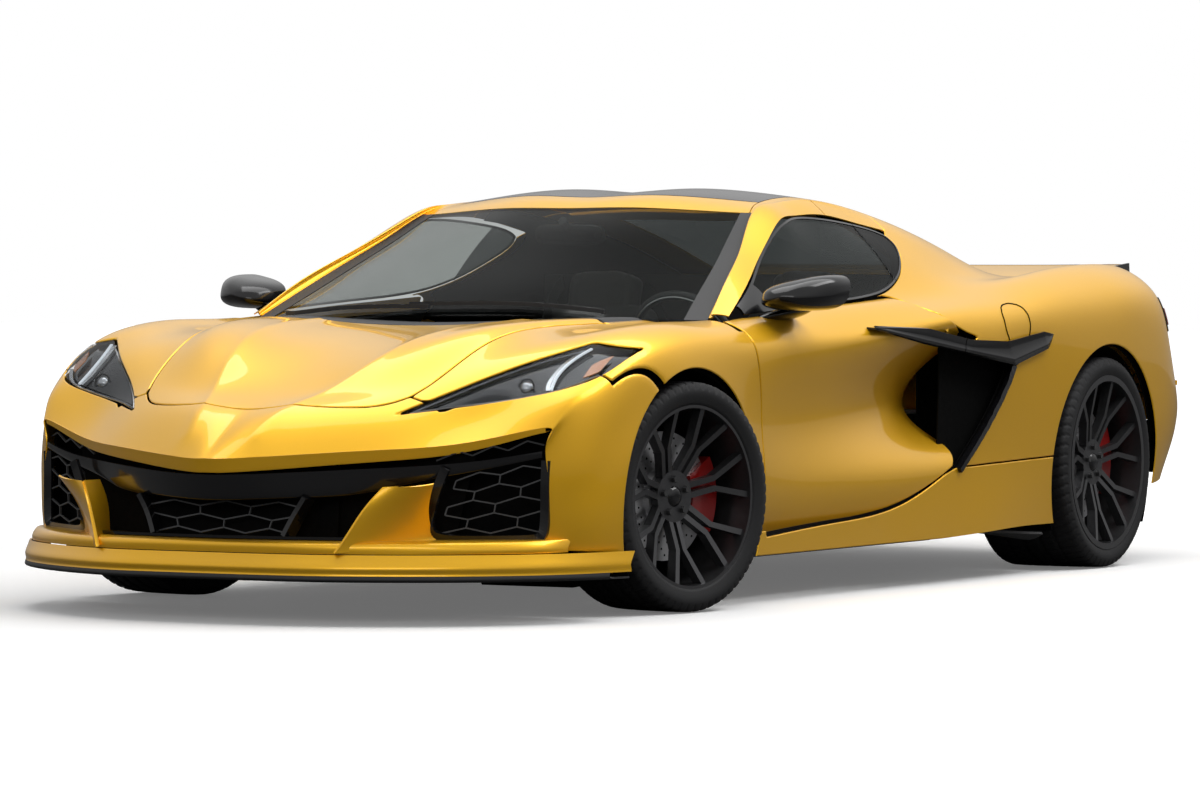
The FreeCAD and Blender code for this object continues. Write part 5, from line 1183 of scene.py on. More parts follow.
# %% [markdown]
# ## Meshes
# The openings are filled with a wide honeycomb of thin wires. Each wire is a bar of four
# sides, laid along the lattice of a bilinear patch, which keeps thousands of facets away.

# %% Honeycomb and frames
MIDDLE_MESH = [(-.215, -2.272, .236), (.215, -2.272, .236), (.265, -2.252, .345), (-.265, -2.252, .345)]
SIDE_MESH = [(.585, -2.085, .238), (.824, -1.925, .238), (.832, -1.918, .458), (.63, -2.045, .42)]
TOP_MESH = [(.56, -2.075, .435), (.826, -1.915, .478), (.83, -1.92, .525), (.60, -2.06, .482)]
middle = honeycomb(patch(MIDDLE_MESH), 3, 3, 0.004, 0.006)
side = honeycomb(patch(SIDE_MESH), 2, 5, 0.004, 0.006)
top = honeycomb(patch(TOP_MESH), 3, 1, 0.004, 0.006)
meshes = joined(middle, both_sides(joined(side, top)))
put("honeycomb", meshes, MESH_GREY, "car", ["grille_meshes"])


def wall(corners, back=0.0):
    """Dark plate of painted shade on a patch, or a little behind it."""
    return plate(patch(np.array(corners, float) + (0, back, 0))(*shares_grid(6)), 0.004)


SIDE_WELL = [(.50, -2.03, .205), (.905, -1.80, .205), (.915, -1.76, .53), (.54, -1.98, .53)]
# Painted shade: near-black plates behind the meshes and in the nose ducts stand for the shade deep in the
# openings.
backing = joined(wall(MIDDLE_MESH, 0.035), both_sides(wall(SIDE_WELL)))
put("mesh_shade_backing", backing, PAINTED_SHADE_BLACK, "car")
DUCT = [(.20, -2.20, .225), (.60, -2.02, .225), (.66, -2.0, .47), (.22, -2.18, .43)]
CENTRE_DUCT = [(-.32, -2.20, .225), (.32, -2.20, .225), (.32, -2.18, .44), (-.32, -2.18, .44)]
ducts = joined(wall(CENTRE_DUCT, 0.02), both_sides(wall(DUCT)))
put("nose_duct_shade", ducts, PAINTED_SHADE_BLACK, "car")
frame_path = smooth_line([
    (.62, -2.10, .43), (.592, -2.105, .36), (.575, -2.11, .28), (.60, -2.085, .238), (.70, -2.01, .232),
    (.80, -1.945, .234), (.832, -1.925, .262), (.834, -1.922, .36), (.836, -1.92, .45)], 60)
slant = smooth_line([(.275, -2.258, .348), (.245, -2.262, .30), (.215, -2.275, .238)], 8)
rim_low = smooth_line([(0, -2.305, .238), (.20, -2.29, .238), (.38, -2.258, .238), (.43, -2.22, .238)], 30)
frames = both_sides(joined(
    bar(frame_path, flat_section(0.026, 0.012), (0, 1, 0.2)),
    bar(slant, flat_section(0.05, 0.014), (1, 0, 0)),
    bar(rim_low, flat_section(0.02, 0.008))))
put("intake_frames", frames, GLOSS_BLACK, "car")
print("honeycomb", triangles_of("honeycomb"))

# %% [markdown]
# ## Headlamps
# A headlamp is a deep dark box under a clear cover. What one sees is the silver trim along
# its edges, a silver ball, a thin bent light strip and an amber marker at the rear.

# %% Lamp cover, box and lights
LAMP_END_Y = -1.30
LAMP_PATCH = (0.1, 5.5), (1, 6)
lamp_fields = [lamp_line, ahead_of(LAMP_END_Y)]
lamp_cover = skin(FRONT, *LAMP_PATCH, lamp_fields, depth=0.003, cell=0.01)
put("lamp_covers", both_sides(lamp_cover), LENS, "car", ["headlamps"])
lamp_box = skin(FRONT, *LAMP_PATCH, lamp_fields, cell=0.014, lift=-0.022, hem=0)
put("lamp_boxes", both_sides(lamp_box), GLOSS_BLACK, "car")


print("lamp covers", triangles_of("lamp_covers"))


# %% [markdown]
# ### Trim and lights in the box
# Trim, light strip and marker follow the cover about a centimetre below it, so they are
# drawn in the front view and brought onto the same net.

# %% Lights in the box
def drawing_on(net, stations, lines, view):
    """Brings points drawn in a view onto a net, or nearby points in space where the view has
    three axes. Each is the mean of the four nearest points of a fine grid, weighted by one
    over the distance, moved outwards by rise."""
    grid = surface(net, stations, lines)
    normals = grid_normals(grid).reshape(-1, 3)
    points = grid.reshape(-1, 3)

    def place(shares, rise=0.0):
        wanted = np.asarray(shares, float)
        gap = np.linalg.norm(points[None][:, :, list(view)] - wanted[:, None], axis=2)
        near = np.argpartition(gap, 4, axis=1)[:, :4]
        weight = 1 / (np.take_along_axis(gap, near, 1) + 1e-5)
        weight = (weight / weight.sum(1, keepdims=True))[..., None]
        return (points[near] * weight).sum(1) + (normals[near] * weight).sum(1) * rise
    return place


on_lamp = drawing_on(FRONT, np.linspace(*LAMP_PATCH[0], 240), np.linspace(*LAMP_PATCH[1], 200), (0, 2))
TRIM_LOW_SHARES = [(.465, .586), (.56, .603), (.66, .616), (.755, .634), (.83, .655), (.895, .690)]
TRIM_UP_SHARES = [(.47, .590), (.53, .628), (.62, .680), (.72, .728), (.80, .760)]
STRIP_SHARES = [(.797, .650), (.790, .672), (.789, .700), (.797, .733), (.815, .763)]
AMBER_LOW_SHARES = [(.860, .683), (.876, .690), (.890, .700)]
AMBER_UP_SHARES = [(.857, .716), (.872, .730), (.892, .742)]
silver = joined(
    bar(smooth_line(on_lamp(TRIM_LOW_SHARES, -0.010), 40), flat_section(0.010, 0.004)),
    bar(smooth_line(on_lamp(TRIM_UP_SHARES, -0.012), 40), flat_section(0.005, 0.004)),
    bar(smooth_line(on_lamp(np.array(STRIP_SHARES) - [0.012, 0], -0.014), 30), flat_section(0.012, 0.004)))
put("lamp_trims", both_sides(silver), SILVER, "car")
light_strip = bar(smooth_line(on_lamp(STRIP_SHARES, -0.010), 30), flat_section(0.008, 0.005))
put("lamp_light_strips", both_sides(light_strip), LIGHT_STRIP, "car")
amber_low, amber_up = (smooth_line(on_lamp(line, -0.008), 10) for line in (AMBER_LOW_SHARES, AMBER_UP_SHARES))
amber = plate(between_lines(amber_low, amber_up, 6), 0.003)
put("amber_markers", both_sides(amber), AMBER, "car")


def ball(centre, radius, count=28):
    """A closed ball: rings at even angles from pole to pole."""
    centre = np.array(centre, float)
    turn, rise = np.meshgrid(
        np.linspace(0, 2 * math.pi, count), np.linspace(0, math.pi, count // 2), indexing="ij")
    out = np.stack([np.cos(turn) * np.sin(rise), np.sin(turn) * np.sin(rise), np.cos(rise)], axis=2)
    points = (centre + out * radius).reshape(-1, 3)
    faces = facing_out(points, grid_faces(*turn.shape), centre)
    return points, faces, out.reshape(-1, 3)[faces].reshape(-1, 3)


eye = on_lamp([(.718, .664)], -0.028)[0]
put("lamp_eyes", both_sides(ball(eye, 0.021)), SILVER, "car")
turn = np.linspace(0, 2 * math.pi, 40)
socket_ring = 0.024 * np.column_stack([np.cos(turn), np.sin(turn) / 4, np.sin(turn)])
socket = bar(eye + socket_ring + [0.002, -0.008, 0.004], flat_section(0.004, 0.004), (0, 1, 0.01))
put("lamp_sockets", both_sides(socket), GLOSS_BLACK, "car")
print("lamps ready")


# %% [markdown]
# ## Trim on the sides
# Trim is drawn on the side view and brought onto the body's surface, so it never floats or
# sinks. The black blade over each intake is a folded strip whose front half rides on the
# door. The mirrors stand on slanted feet and widen towards their glass.

# %% The side as a drawing board
on_side = drawing_on(REAR, np.linspace(3, 17, 420), np.linspace(3.9, 11, 260), (1, 2))

# %% [markdown]
# ### Blades and intakes
# Three lines make the folded strip: its top edge, its lower edge and its root inside the
# intake. The strip is parted where the door ends, so its front half can swing with the door.

# %% Blades, intake edges, ducts
BLADE_TOP_SHARES = [
    (.980, -.201, .806), (.990, .139, .796), (1.000, .425, .758), (1.012, .657, .750), (1.018, .907, .778),
    (1.016, .986, .770)]
BLADE_LOW_SHARES = [
    (.980, -.198, .800), (.988, .120, .752), (.998, .425, .716), (1.020, .700, .680), (1.024, .930, .728),
    (1.018, .984, .762)]
BLADE_ROOT_SHARES = [
    (.950, -.195, .802), (.930, .130, .770), (.925, .425, .735), (.960, .680, .712), (.990, .915, .745),
    (.995, .970, .762)]


def straight_line(points, count=297):
    """Even points along straight stretches, which keeps the corners of a folded strip."""
    points = np.array(points, float)
    numbers = np.linspace(0, len(points) - 1, count)
    return np.column_stack([np.interp(numbers, np.arange(len(points)), column) for column in points.T])


blade_top, blade_low, blade_root = (
    straight_line(line) for line in (BLADE_TOP_SHARES, BLADE_LOW_SHARES, BLADE_ROOT_SHARES))
blade_face = np.concatenate([
    between_lines(blade_top, blade_low, 6, 0.004), between_lines(blade_low, blade_root, 4)[1:]])
BLADE_JOINT_Y = 0.389
on_door_count = (blade_top[:, 1] < BLADE_JOINT_Y).sum()
door_blade = plate(blade_face[:, :on_door_count], 0.006)
put_pair("door_edge", door_blade, GLOSS_BLACK, "door", ["door_blade"])
blade = plate(blade_face[:, on_door_count:], 0.006)
put("intake_blades", both_sides(blade), GLOSS_BLACK, "car", ["side_blades"])
edge_shares = smooth_line(INTAKE_EDGE_SHARES, 40)
edge_path = on_side(np.column_stack([along(edge_shares[:, 0]), edge_shares[:, 1]]), 0.001)
edge = bar(edge_path, flat_section(0.022, 0.016), (0, 0.6, 1))
put("intake_edges", both_sides(edge), GLOSS_BLACK, "car")
# Painted shade: a near-black sheet deep in each intake stands for the shade inside it.
duct = skin(REAR, (6.9, 17), (4, 11), [inset(intake_line, -0.05)], cell=0.03, lift=-0.055, hem=0)
put("intake_duct_shade", both_sides(duct), PAINTED_SHADE_BLACK, "car")
SKID_SHARES = [(.86, .66, .146), (.94, .68, .146), (.975, 1.0, .128), (.86, 1.0, .128)]
u, v = shares_grid(8)
skid = patch(SKID_SHARES)(u, v) - np.stack([u * 0, u * 0, 0.02 * v * (1 - (2 * u - 1) ** 2)], axis=2)
put("sill_winglets", both_sides(plate(skid, 0.008)), MATT_BLACK, "car")

# %% [markdown]
# ### Mirrors
# The housing is blunt in front and cut square at its glass, and its foot grows out of the
# door's shoulder.

# %% Mirrors
def mirror_shell(rows=26, around=56):
    """Housing swept from its blunt front to the glass. At share t the half width is
    a (1 - (1 - t)^3)^0.5 and the section is a rounded box |x|^3 + |z|^3 = 1. The outer end trails
    the inner one, and the top rises outwards."""
    t = np.linspace(0.012, 1, rows)[:, None]
    turn = np.linspace(0, 2 * math.pi, around, endpoint=False)
    x = np.sign(np.cos(turn)) * np.abs(np.cos(turn)) ** (2 / 3)
    z = np.sign(np.sin(turn)) * np.abs(np.sin(turn)) ** (2 / 3)
    grow = np.sqrt(1 - (1 - t) ** 3)
    across = 0.966 + 0.108 * grow * x
    rise = 0.903 + 0.058 * grow * z * (0.85 + 0.15 * x) + 0.10 * (across - 0.966)
    ahead = -0.760 + 0.175 * t + 0.32 * (across - 0.966) + 0.02 * grow * z
    return np.stack([across, ahead, rise], axis=2)


def capped(grid):
    """A tube of rings with both its ends closed by their middle points."""
    rows, around = grid.shape[:2]
    points = np.concatenate([grid.reshape(-1, 3), grid[0].mean(0)[None], grid[-1].mean(0)[None]])
    ring = np.arange(around)
    first, last = rows * around, rows * around + 1
    beside, far = (ring + 1) % around, (rows - 1) * around
    faces = np.concatenate([
        tube_faces(rows, around)[:, ::-1], np.column_stack([np.full(around, first), beside, ring]),
        np.column_stack([np.full(around, last), far + ring, far + beside])])
    faces = facing_out(points, faces, points.mean(0))
    soft, hard = soft_corners(points, faces), flat_corners(points, faces)
    return points, faces, np.where((soft * hard).sum(1, keepdims=True) > 0.75, soft, hard)


shell = mirror_shell()
glass_ring = shell[-1] + (0, 0.001, 0)
pane_middle = glass_ring.mean(0)
pane = (glass_ring - pane_middle) * np.linspace(0.02, 0.88, 8)[:, None, None] + pane_middle
pane = np.concatenate([pane, pane[:, :1]], axis=1)
MIRROR_FOOT = [
    (.846, -.640, .826), (.880, -.625, .838), (.915, -.612, .846), (.950, -.600, .860), (.968, -.595, .880)]
foot_path = smooth_line(MIRROR_FOOT, 24)
foot_wide = np.linspace(0.150, 0.085, 24)[:, None, None]
foot_ring = np.array([(0, y, z * 0.26) for y, z in circle_of(20, 0.5)])
foot = capped(foot_path[:, None] + foot_ring * foot_wide)
housing = joined(capped(shell), foot)
mirror_glass = plate(pane, 0.002)
put_pair("mirror_shell", housing, GLOSS_BLACK, "door", ["mirror"])
put_pair("mirror_pane", mirror_glass, SILVER, "door")


print("mirror", triangles_of("mirror_shell_left"), "triangles")


# %% [markdown]
# ### Window trim and filler cap
# A gloss strip a centimetre wide frames the side glass, and a black corner closes its front
# end. The filler cap is only its shut line, a thin ring of painted shade on the hip.

# %% Window trim and filler line
def sail_edge(points):
    """Distance ahead of the slanted rear edge of the black corner before the window."""
    return -0.60 - 0.35 * (points[:, 2] - 0.86) - points[:, 1]


sail = skin(REAR, (0.4, 6), (4.12, 6.4), side_glass + [sail_edge], depth=0.003, hem=0, lift=0.003)
seal_strip = [window_line, inset(outside(window_line), -0.010), outside(door_line)]
door_seal = skin(REAR, (0.4, 8.3), (4.05, 6.5), seal_strip + [on_door], hem=0, lift=0.002, cell=0.009)
rear_seal = skin(
    REAR, (0.4, 8.6), (4.05, 6.5), seal_strip + [outside(on_door)], hem=0, lift=0.002, cell=0.009)
put_pair("window_trim", joined(sail, door_seal), GLOSS_BLACK, "door")
put("quarter_trim", both_sides(rear_seal), GLOSS_BLACK, "car")
near_side = drawing_on(REAR, np.linspace(8, 15, 240), np.linspace(3.9, 11, 220), (0, 1, 2))
cap_middle = near_side([(.96, .76, .80)])[0]
cap_out = unit(near_side([(.96, .76, .80)], 1.0)[0] - cap_middle)
cap_ahead = unit(np.cross(cap_out, (0, 0, 1)))
cap_up = np.cross(cap_ahead, cap_out)
cap_ring = circle_of(72, 0.086)
cap_ring = np.vstack([cap_ring, cap_ring[:1]])
cap_line = near_side(cap_middle + cap_ring[:, :1] * cap_ahead + cap_ring[:, 1:] * cap_up, 0.0002)
# The ring is painted shade: a near-black line that stands for the gap round the cap.
cap_groove = bar(cap_line, flat_section(0.0035, 0.0035), (0.9, 0, 0.4))
put("filler_shade_line", both_sides(cap_groove), PAINTED_SHADE_BLACK, "car")
print("trim", triangles_of("window_trim_left"), "triangles")


# %% [markdown]
# ## Wheels
# A tyre is its section swept round the axle. The tread is cut into the same grid: four
# grooves run round it, and slanted slots leave them towards the shoulders, always against
# the way the wheel rolls. Behind the spokes sit drilled discs.

# %% Places in a wheel
TOE = math.radians(11.7)
# Radius, half the width, bead radius, and how far out the hub and the disc reach.
FRONT_WHEEL = 0.330, 0.1375, 0.2615, 0.057, 0.018
REAR_WHEEL = 0.345, 0.1725, 0.2735, 0.113, 0.062
CORNERS = {
    "front_left": ((0.8386, -1.2831, 0.330), (math.cos(TOE), -math.sin(TOE), 0), FRONT_WHEEL),
    "front_right": ((-0.8386, -1.2649, 0.330), (-math.cos(TOE), math.sin(TOE), 0), FRONT_WHEEL),
    "rear_left": ((0.8315, 1.449, 0.345), (1, 0, 0), REAR_WHEEL),
    "rear_right": ((-0.8315, 1.449, 0.345), (-1, 0, 0), REAR_WHEEL),
}


def in_wheel(points, centre, axle):
    """Places given as distance outwards, sideways and up in a wheel, brought into the car."""
    axle, up = np.array(axle, float), np.array([0, 0, 1.0])
    ahead = np.cross(up, axle)
    points = np.asarray(points, float)
    return np.array(centre) + points[..., :1] * axle + points[..., 1:2] * ahead + points[..., 2:] * up


print(len(CORNERS), "wheels, the front ones steered", round(math.degrees(TOE), 1), "degrees")


# %% [markdown]
# ### Tyres, nuts, caps and drillings
# The tread is pressed into the grid of the tyre itself, because loose blocks would show
# their edges. Nuts and drillings are short rods with six sides; the drillings are near-black
# painted shade that stands for the holes.

# %% Tyres with tread, nuts, caps and drillings
def closed_ring(grid):
    """Faces and normals of a grid that closes on itself both ways."""
    faces = tube_faces(*grid.shape[:2], closed=True)
    points = grid.reshape(-1, 3)
    middle = points.mean(0)
    spread = points[faces].mean(1) - middle
    outer = np.abs(spread).sum(1) > np.quantile(np.abs(spread).sum(1), 0.9)
    if (face_normals(points, faces)[outer] * spread[outer]).sum() < 0:
        faces = faces[:, ::-1]
    return points, faces, soft_corners(points, faces)


def smooth_step(value):
    """0 below 0, 1 above 1, and 3 t^2 - 2 t^3 between."""
    value = np.clip(value, 0, 1)
    return value**2 * (3 - 2 * value)


GROOVE_DEPTH, SLOT_DEPTH = 0.006, 0.004


def tyre(centre, axle, radius, half, bead, slots=64, count=512):
    """A tyre's section swept round. A slot's place moves round with the distance from the
    middle, so it slants, and its depth fades at its edges by the smooth step."""
    shoulder = [
        (-half * 0.93, bead), (-half, bead + (radius - bead) * 0.42), (-half * 0.985, radius - 0.020),
        (-half * 0.93, radius - 0.006)]
    tread = np.column_stack([np.linspace(-half * 0.88, half * 0.88, 45), np.full(45, radius - 0.0008)])
    tread[:, 1] -= 0.0035 * (tread[:, 0] / half) ** 4
    other_shoulder = [(-w, r) for w, r in shoulder[::-1]]
    foot = [
        (half * 0.80, bead), (half * 0.78, bead + 0.03), (-half * 0.78, bead + 0.03), (-half * 0.80, bead)]
    section = np.concatenate([smooth_line(shoulder, 12), tread, smooth_line(other_shoulder, 12), foot])
    turn = np.linspace(0, 2 * math.pi, count, endpoint=False)[:, None]
    w, r = section[:, 0] / half, section[:, 1]
    grooves = np.min([np.abs(np.abs(w) - place) for place in (0.18, 0.52)], axis=0) * half
    round_cut = GROOVE_DEPTH * smooth_step((0.0065 - grooves) / 0.003 + 0.2)
    phase = (turn * slots / (2 * math.pi) + np.abs(w) * 1.6) % 1
    outer = (np.abs(w) > 0.24) & (r > radius - 0.022)
    slot_cut = SLOT_DEPTH * smooth_step((0.16 - np.abs(phase - 0.5)) / 0.08) * outer
    on_tread = (np.abs(w) < 0.9) & (r > radius - 0.02)
    rolled = r - np.where(on_tread, round_cut, 0) - slot_cut
    grid = np.stack(np.broadcast_arrays(section[:, 0], rolled * np.cos(turn), rolled * np.sin(turn)), axis=2)
    return closed_ring(in_wheel(grid, centre, axle))


def rods(centre, axle, out, places, radius, thick):
    """Short rods with their ends on the wheel's outer side, one for each place in the wheel."""
    return joined(*[
        bar(in_wheel([(out - thick, y, z), (out, y, z)], centre, axle), circle_of(6, radius), (0, 0.3, 1))
        for y, z in places])


for corner, (centre, axle, sizes) in CORNERS.items():
    radius, half, bead, hub, disc_face = sizes
    wheel = "wheel_" + corner
    tread = tyre(centre, axle, radius, half, bead)
    put("tyre_tread_" + corner, tread, RUBBER, wheel, ["tyre_" + corner])
    nuts = rods(centre, axle, hub + 0.012, circle_of(5, 0.050, 0.4), 0.0105, 0.012)
    put("lug_nuts_" + corner, nuts, SATIN_BLACK, wheel)
    share = np.linspace(0.02, 1, 9)
    turn = np.linspace(0, 2 * math.pi, 41)[:, None]
    dome = hub + 0.010 * (1 - share**4), 0.030 * share * np.cos(turn), 0.030 * share * np.sin(turn)
    cap_grid = np.stack(np.broadcast_arrays(*dome), axis=2)
    cap = plate(in_wheel(cap_grid, centre, axle), 0.002)
    put("centre_cap_" + corner, cap, GLOSS_BLACK, wheel)
    rows = [circle_of(24, 0.115 + 0.018 * row, row * 0.09) for row in range(4)]
    # Painted shade: the drillings are short near-black rods on the disc face that stand for holes.
    drillings = rods(centre, axle, disc_face + 0.0006, np.concatenate(rows), 0.0035, 0.002)
    put("disc_drilling_shade_" + corner, drillings, PAINTED_SHADE_BLACK, wheel)
print("tyre", triangles_of("tyre_tread_front_left"), "triangles")


# %% [markdown]
# ## The cabin
# Through the tinted glass one sees two seats with their belts, the dashboard, the steering
# wheel and the inside mirror. Each seat is sewn from stuffed parts: crowned closed forms whose
# faces swell between seams, with slow wrinkles.

# %% Stuffed seat parts
def stuffed(centre, half, lean=0.0, power=0.42, seams=(), wrinkle=0.0022, rows=44, around=64):
    """A crowned rounded box with seams. At angles a and b the unit form is (cos a cos b,
    sin a cos b, sin b), each part raised to the power and scaled by the half sizes. A seam
    sinks it by 5 mm exp(-(d / 7 mm)^2), and wrinkles add sines of a few centimetres."""
    b, a = np.meshgrid(
        np.linspace(-math.pi / 2, math.pi / 2, rows), np.linspace(0, 2 * math.pi, around), indexing="ij")

    def bent(value):
        return np.sign(value) * np.abs(value) ** power

    flat = bent(np.cos(b))
    form = np.stack([bent(np.cos(a)) * flat, bent(np.sin(a)) * flat, bent(np.sin(b))], axis=2)
    local = form * np.array(half)
    out = unit(form**3 / np.array(half) + 1e-9)
    sink = 0.0
    for axis, place in seams:
        sink = sink + 0.005 * np.exp(-((local[..., axis] - place) / 0.007) ** 2)
    x, y, z = np.moveaxis(local, 2, 0)
    fold = np.sin(x * 95 + 3 * np.sin(z * 31)) * np.sin(z * 60 + y * 40) + 0.6 * np.sin(z * 120 + x * 45)
    local = local + out * (wrinkle * fold - sink)[..., None]
    turn = math.radians(lean)
    y, z = local[..., 1].copy(), local[..., 2].copy()
    local[..., 1] = y * math.cos(turn) + z * math.sin(turn)
    local[..., 2] = z * math.cos(turn) - y * math.sin(turn)
    points = (local + np.array(centre)).reshape(-1, 3)
    faces = facing_out(points, grid_faces(rows, around), np.array(centre))
    return points, faces, soft_corners(points, faces)


SEAT_X = 0.37
BOLSTERS_X = SEAT_X - 0.195, SEAT_X + 0.195
SEAT_PARTS = {
    "seat_bases": [((SEAT_X, 0.15, 0.285), (0.165, 0.235, 0.075), -4, [(0, -0.07), (0, 0.07), (1, 0.10)])],
    "seat_base_bolsters": [
        ((x, 0.15, 0.305), (0.048, 0.225, 0.078), -4, [(1, 0.05)]) for x in BOLSTERS_X],
    "seat_backs": [
        ((SEAT_X, 0.455, 0.575), (0.155, 0.062, 0.285), 14, [(0, -0.075), (0, 0.075), (2, 0.08), (2, -0.10)])],
    "seat_back_bolsters": [
        ((x, 0.425, 0.555), (0.050, 0.085, 0.260), 14, [(2, 0.03)]) for x in BOLSTERS_X],
    "seat_shoulders": [((SEAT_X, 0.505, 0.770), (0.195, 0.058, 0.090), 14, [(0, -0.10), (0, 0.10)])],
    "headrests": [((SEAT_X, 0.535, 0.880), (0.118, 0.055, 0.085), 12, [(0, -0.085), (0, 0.085)])],
}
for name, parts in SEAT_PARTS.items():
    sewn = joined(*[stuffed(centre, half, lean, seams=seams) for centre, half, lean, seams in parts])
    taken = ["seats"] if name == "seat_bases" else []
    put(name, both_sides(sewn), LEATHER, "car", taken)
SHELL_ROWS = [(0.23, 0.50, 0.33), (0.24, 0.565, 0.60), (0.20, 0.60, 0.80), (0.13, 0.600, 0.93)]
back_lines = np.array([
    np.linspace((SEAT_X - wide, y, z), (SEAT_X + wide, y, z), 12) for wide, y, z in SHELL_ROWS])
put("seat_shells", both_sides(plate(back_lines, 0.012)), MATT_BLACK, "car")
tray = np.array([np.linspace((0.15, y, 0.20), (0.59, y, 0.20), 8) for y in (-0.05, 0.20, 0.42)])
put("seat_frames", both_sides(plate(tray, 0.03)), SATIN_BLACK, "car")
BELT = [(0.565, 0.60, 0.93), (0.545, 0.52, 0.90), (0.53, 0.43, 0.80), (0.53, 0.35, 0.60), (0.55, 0.28, 0.42)]
belt = bar(smooth_line(BELT, 40), flat_section(0.045, 0.003), (1, 0.2, 0))
put("seat_belts", both_sides(belt), TRIM, "car")

# %% [markdown]
# ### Dashboard, wheel strip, mirror and wipers
# The dashboard is a small net with a hump over the gauges. The wipers are bars drawn on the
# windscreen's own net, so they follow the glass all along.

# %% Small cabin parts
DASH_SHARES = [
    [(-.68, -.80, .780), (0, -.84, .790), (.68, -.80, .780)],
    [(-.68, -.62, .788), (0, -.62, .800), (.68, -.62, .788)],
    [(-.66, -.46, .765), (0, -.47, .775), (.66, -.46, .765)],
    [(-.66, -.44, .715), (0, -.45, .720), (.66, -.44, .715)],
    [(-.66, -.47, .64), (0, -.48, .64), (.66, -.47, .64)],
]
dash_rows = spline(np.array(DASH_SHARES), np.linspace(0, 4, 30))
dash_grid = spline(dash_rows.transpose(1, 0, 2), np.linspace(0, 2, 60)).transpose(1, 0, 2)
hood_x, hood_y = (dash_grid[..., 0] - SEAT_X) / 0.16, (dash_grid[..., 1] + 0.56) / 0.10
dash_grid[..., 2] += 0.030 * np.exp(-(hood_x**2) - hood_y**2)
put("dash_cover", plate(dash_grid, 0.010), TRIM, "car")
SCREEN = [(-.02, -.445, .700), (.20, -.425, .700)], [(-.02, -.455, .790), (.20, -.435, .790)]
GAUGES = [(.26, -.50, .745), (.48, -.50, .745)], [(.26, -.52, .815), (.48, -.52, .815)]
screens = [plate(between_lines(low, high, 4), 0.010) for low, high in (SCREEN, GAUGES)]
put("dash_screens", joined(*screens), GLOSS_BLACK, "car")
VENT = [(-.60, -.436, .70), (-.30, -.436, .70), (-.30, -.440, .745), (-.60, -.440, .745)]
vents = honeycomb(patch(VENT), 12, 3, 0.002, 0.003)
put("dash_vents", vents, SATIN_BLACK, "car")
lean = math.radians(24)
rim_turn = np.linspace(math.radians(25), math.radians(155), 40)
wheel_up = np.array([0, -math.sin(lean), math.cos(lean)])
wheel_front = np.array([0, -math.cos(lean), -math.sin(lean)])
strip_arc = np.cos(rim_turn)[:, None] * (1, 0, 0) + np.sin(rim_turn)[:, None] * wheel_up
strip_path = (SEAT_X, -.27, .74) + 0.172 * strip_arc + 0.0142 * wheel_front
strip = bar(strip_path, flat_section(0.004, 0.003), (0, -1, 0.4))
put("steering_strip", strip, SILVER, "steering_wheel")
inside_mirror = stuffed((0, -.335, 1.082), (.122, .016, .034), -12, power=0.5, wrinkle=0)
stem = bar([(0, -.345, 1.10), (0, -.385, 1.125)], circle_of(12, .014), (1, 0, 0))
put("inside_mirror", joined(inside_mirror, stem), GLOSS_BLACK, "car")
on_screen = drawing_on(REAR, np.linspace(0, 4, 160), np.linspace(-2, 2, 120), (0, 1))
WIPER_SHARES = [
    [(.50, -1.010), (.30, -1.045), (.05, -1.065), (-.12, -1.068)],
    [(-.05, -1.085), (-.25, -1.070), (-.45, -1.030), (-.62, -.975)],
]
wipers = [bar(on_screen(smooth_line(line, 30), 0.014), flat_section(0.012, 0.012)) for line in WIPER_SHARES]
put("wipers", joined(*wipers), MATT_BLACK, "car")
print("seats", triangles_of("seat_backs"), "triangles in the backs")


# %% [markdown]
# ## The tail
# The picture shows only the corner of the tail, so its face follows what such cars have: a
# painted bumper with a ledge, lamps in dark frames, meshed vents, and a black foot with fins
# round two pipes. A slim painted wing with black ends stands on the deck.

# %% Bumper, lamps and vents
TAIL_SHARES = [
    [(0, 1.985, .935), (0, 1.95, .83), (0, 1.97, .69), (0, 1.99, .56), (0, 1.93, .43), (0, 1.86, .30)],
    [(.40, 1.975, .935), (.40, 1.945, .83), (.40, 1.96, .69),
     (.40, 1.98, .56), (.40, 1.92, .43), (.40, 1.85, .30)],
    [(.66, 1.88, .93), (.68, 1.88, .82), (.70, 1.91, .69),
     (.71, 1.93, .56), (.70, 1.88, .43), (.68, 1.79, .30)],
    [(.79, 1.675, .885), (.87, 1.685, .80), (.905, 1.765, .68),
     (.92, 1.815, .56), (.915, 1.805, .43), (.89, 1.675, .29)],
]
TAIL = face_net(TAIL_SHARES)


def tail_skin(stations, lines, lift=0.0):
    return skin(TAIL, stations, lines, cell=0.014, lift=lift)


put("rear_bumper", tail_skin((0, 3.75), (-3, 3)), PAINT, "car", ["rear_fascia"])
put("rear_foot", tail_skin((3.77, 5), (-2.98, 2.98)), MATT_BLACK, "car")
lamp_frame = joined(
    tail_skin((0.25, 1.05), (1.30, 1.92), 0.004), tail_skin((0.25, 1.05), (1.97, 2.62), 0.004))
put("tail_lamp_frames", both_sides(lamp_frame), GLOSS_BLACK, "car")
lamp_glass = joined(
    tail_skin((0.38, 0.92), (1.38, 1.84), 0.010), tail_skin((0.38, 0.92), (2.05, 2.54), 0.010))
put("tail_lamp_lenses", both_sides(lamp_glass), RED_LENS, "car", ["tail_lamps"])
CORNER_LAMP_SHARES = straight_runs([(1.560, .886), (1.690, .862), (1.684, .776), (1.62, .762), (1.560, .886)])
CORNER_LENS_SHARES = straight_runs([(1.60, .850), (1.675, .838), (1.670, .790), (1.63, .785), (1.60, .850)])
corner_frame = skin(REAR, (11, 17), (2, 11), [side_outline(CORNER_LAMP_SHARES)], lift=0.004, cell=0.008)
corner_lens = skin(REAR, (11, 17), (2, 11), [side_outline(CORNER_LENS_SHARES)], lift=0.008, cell=0.008)
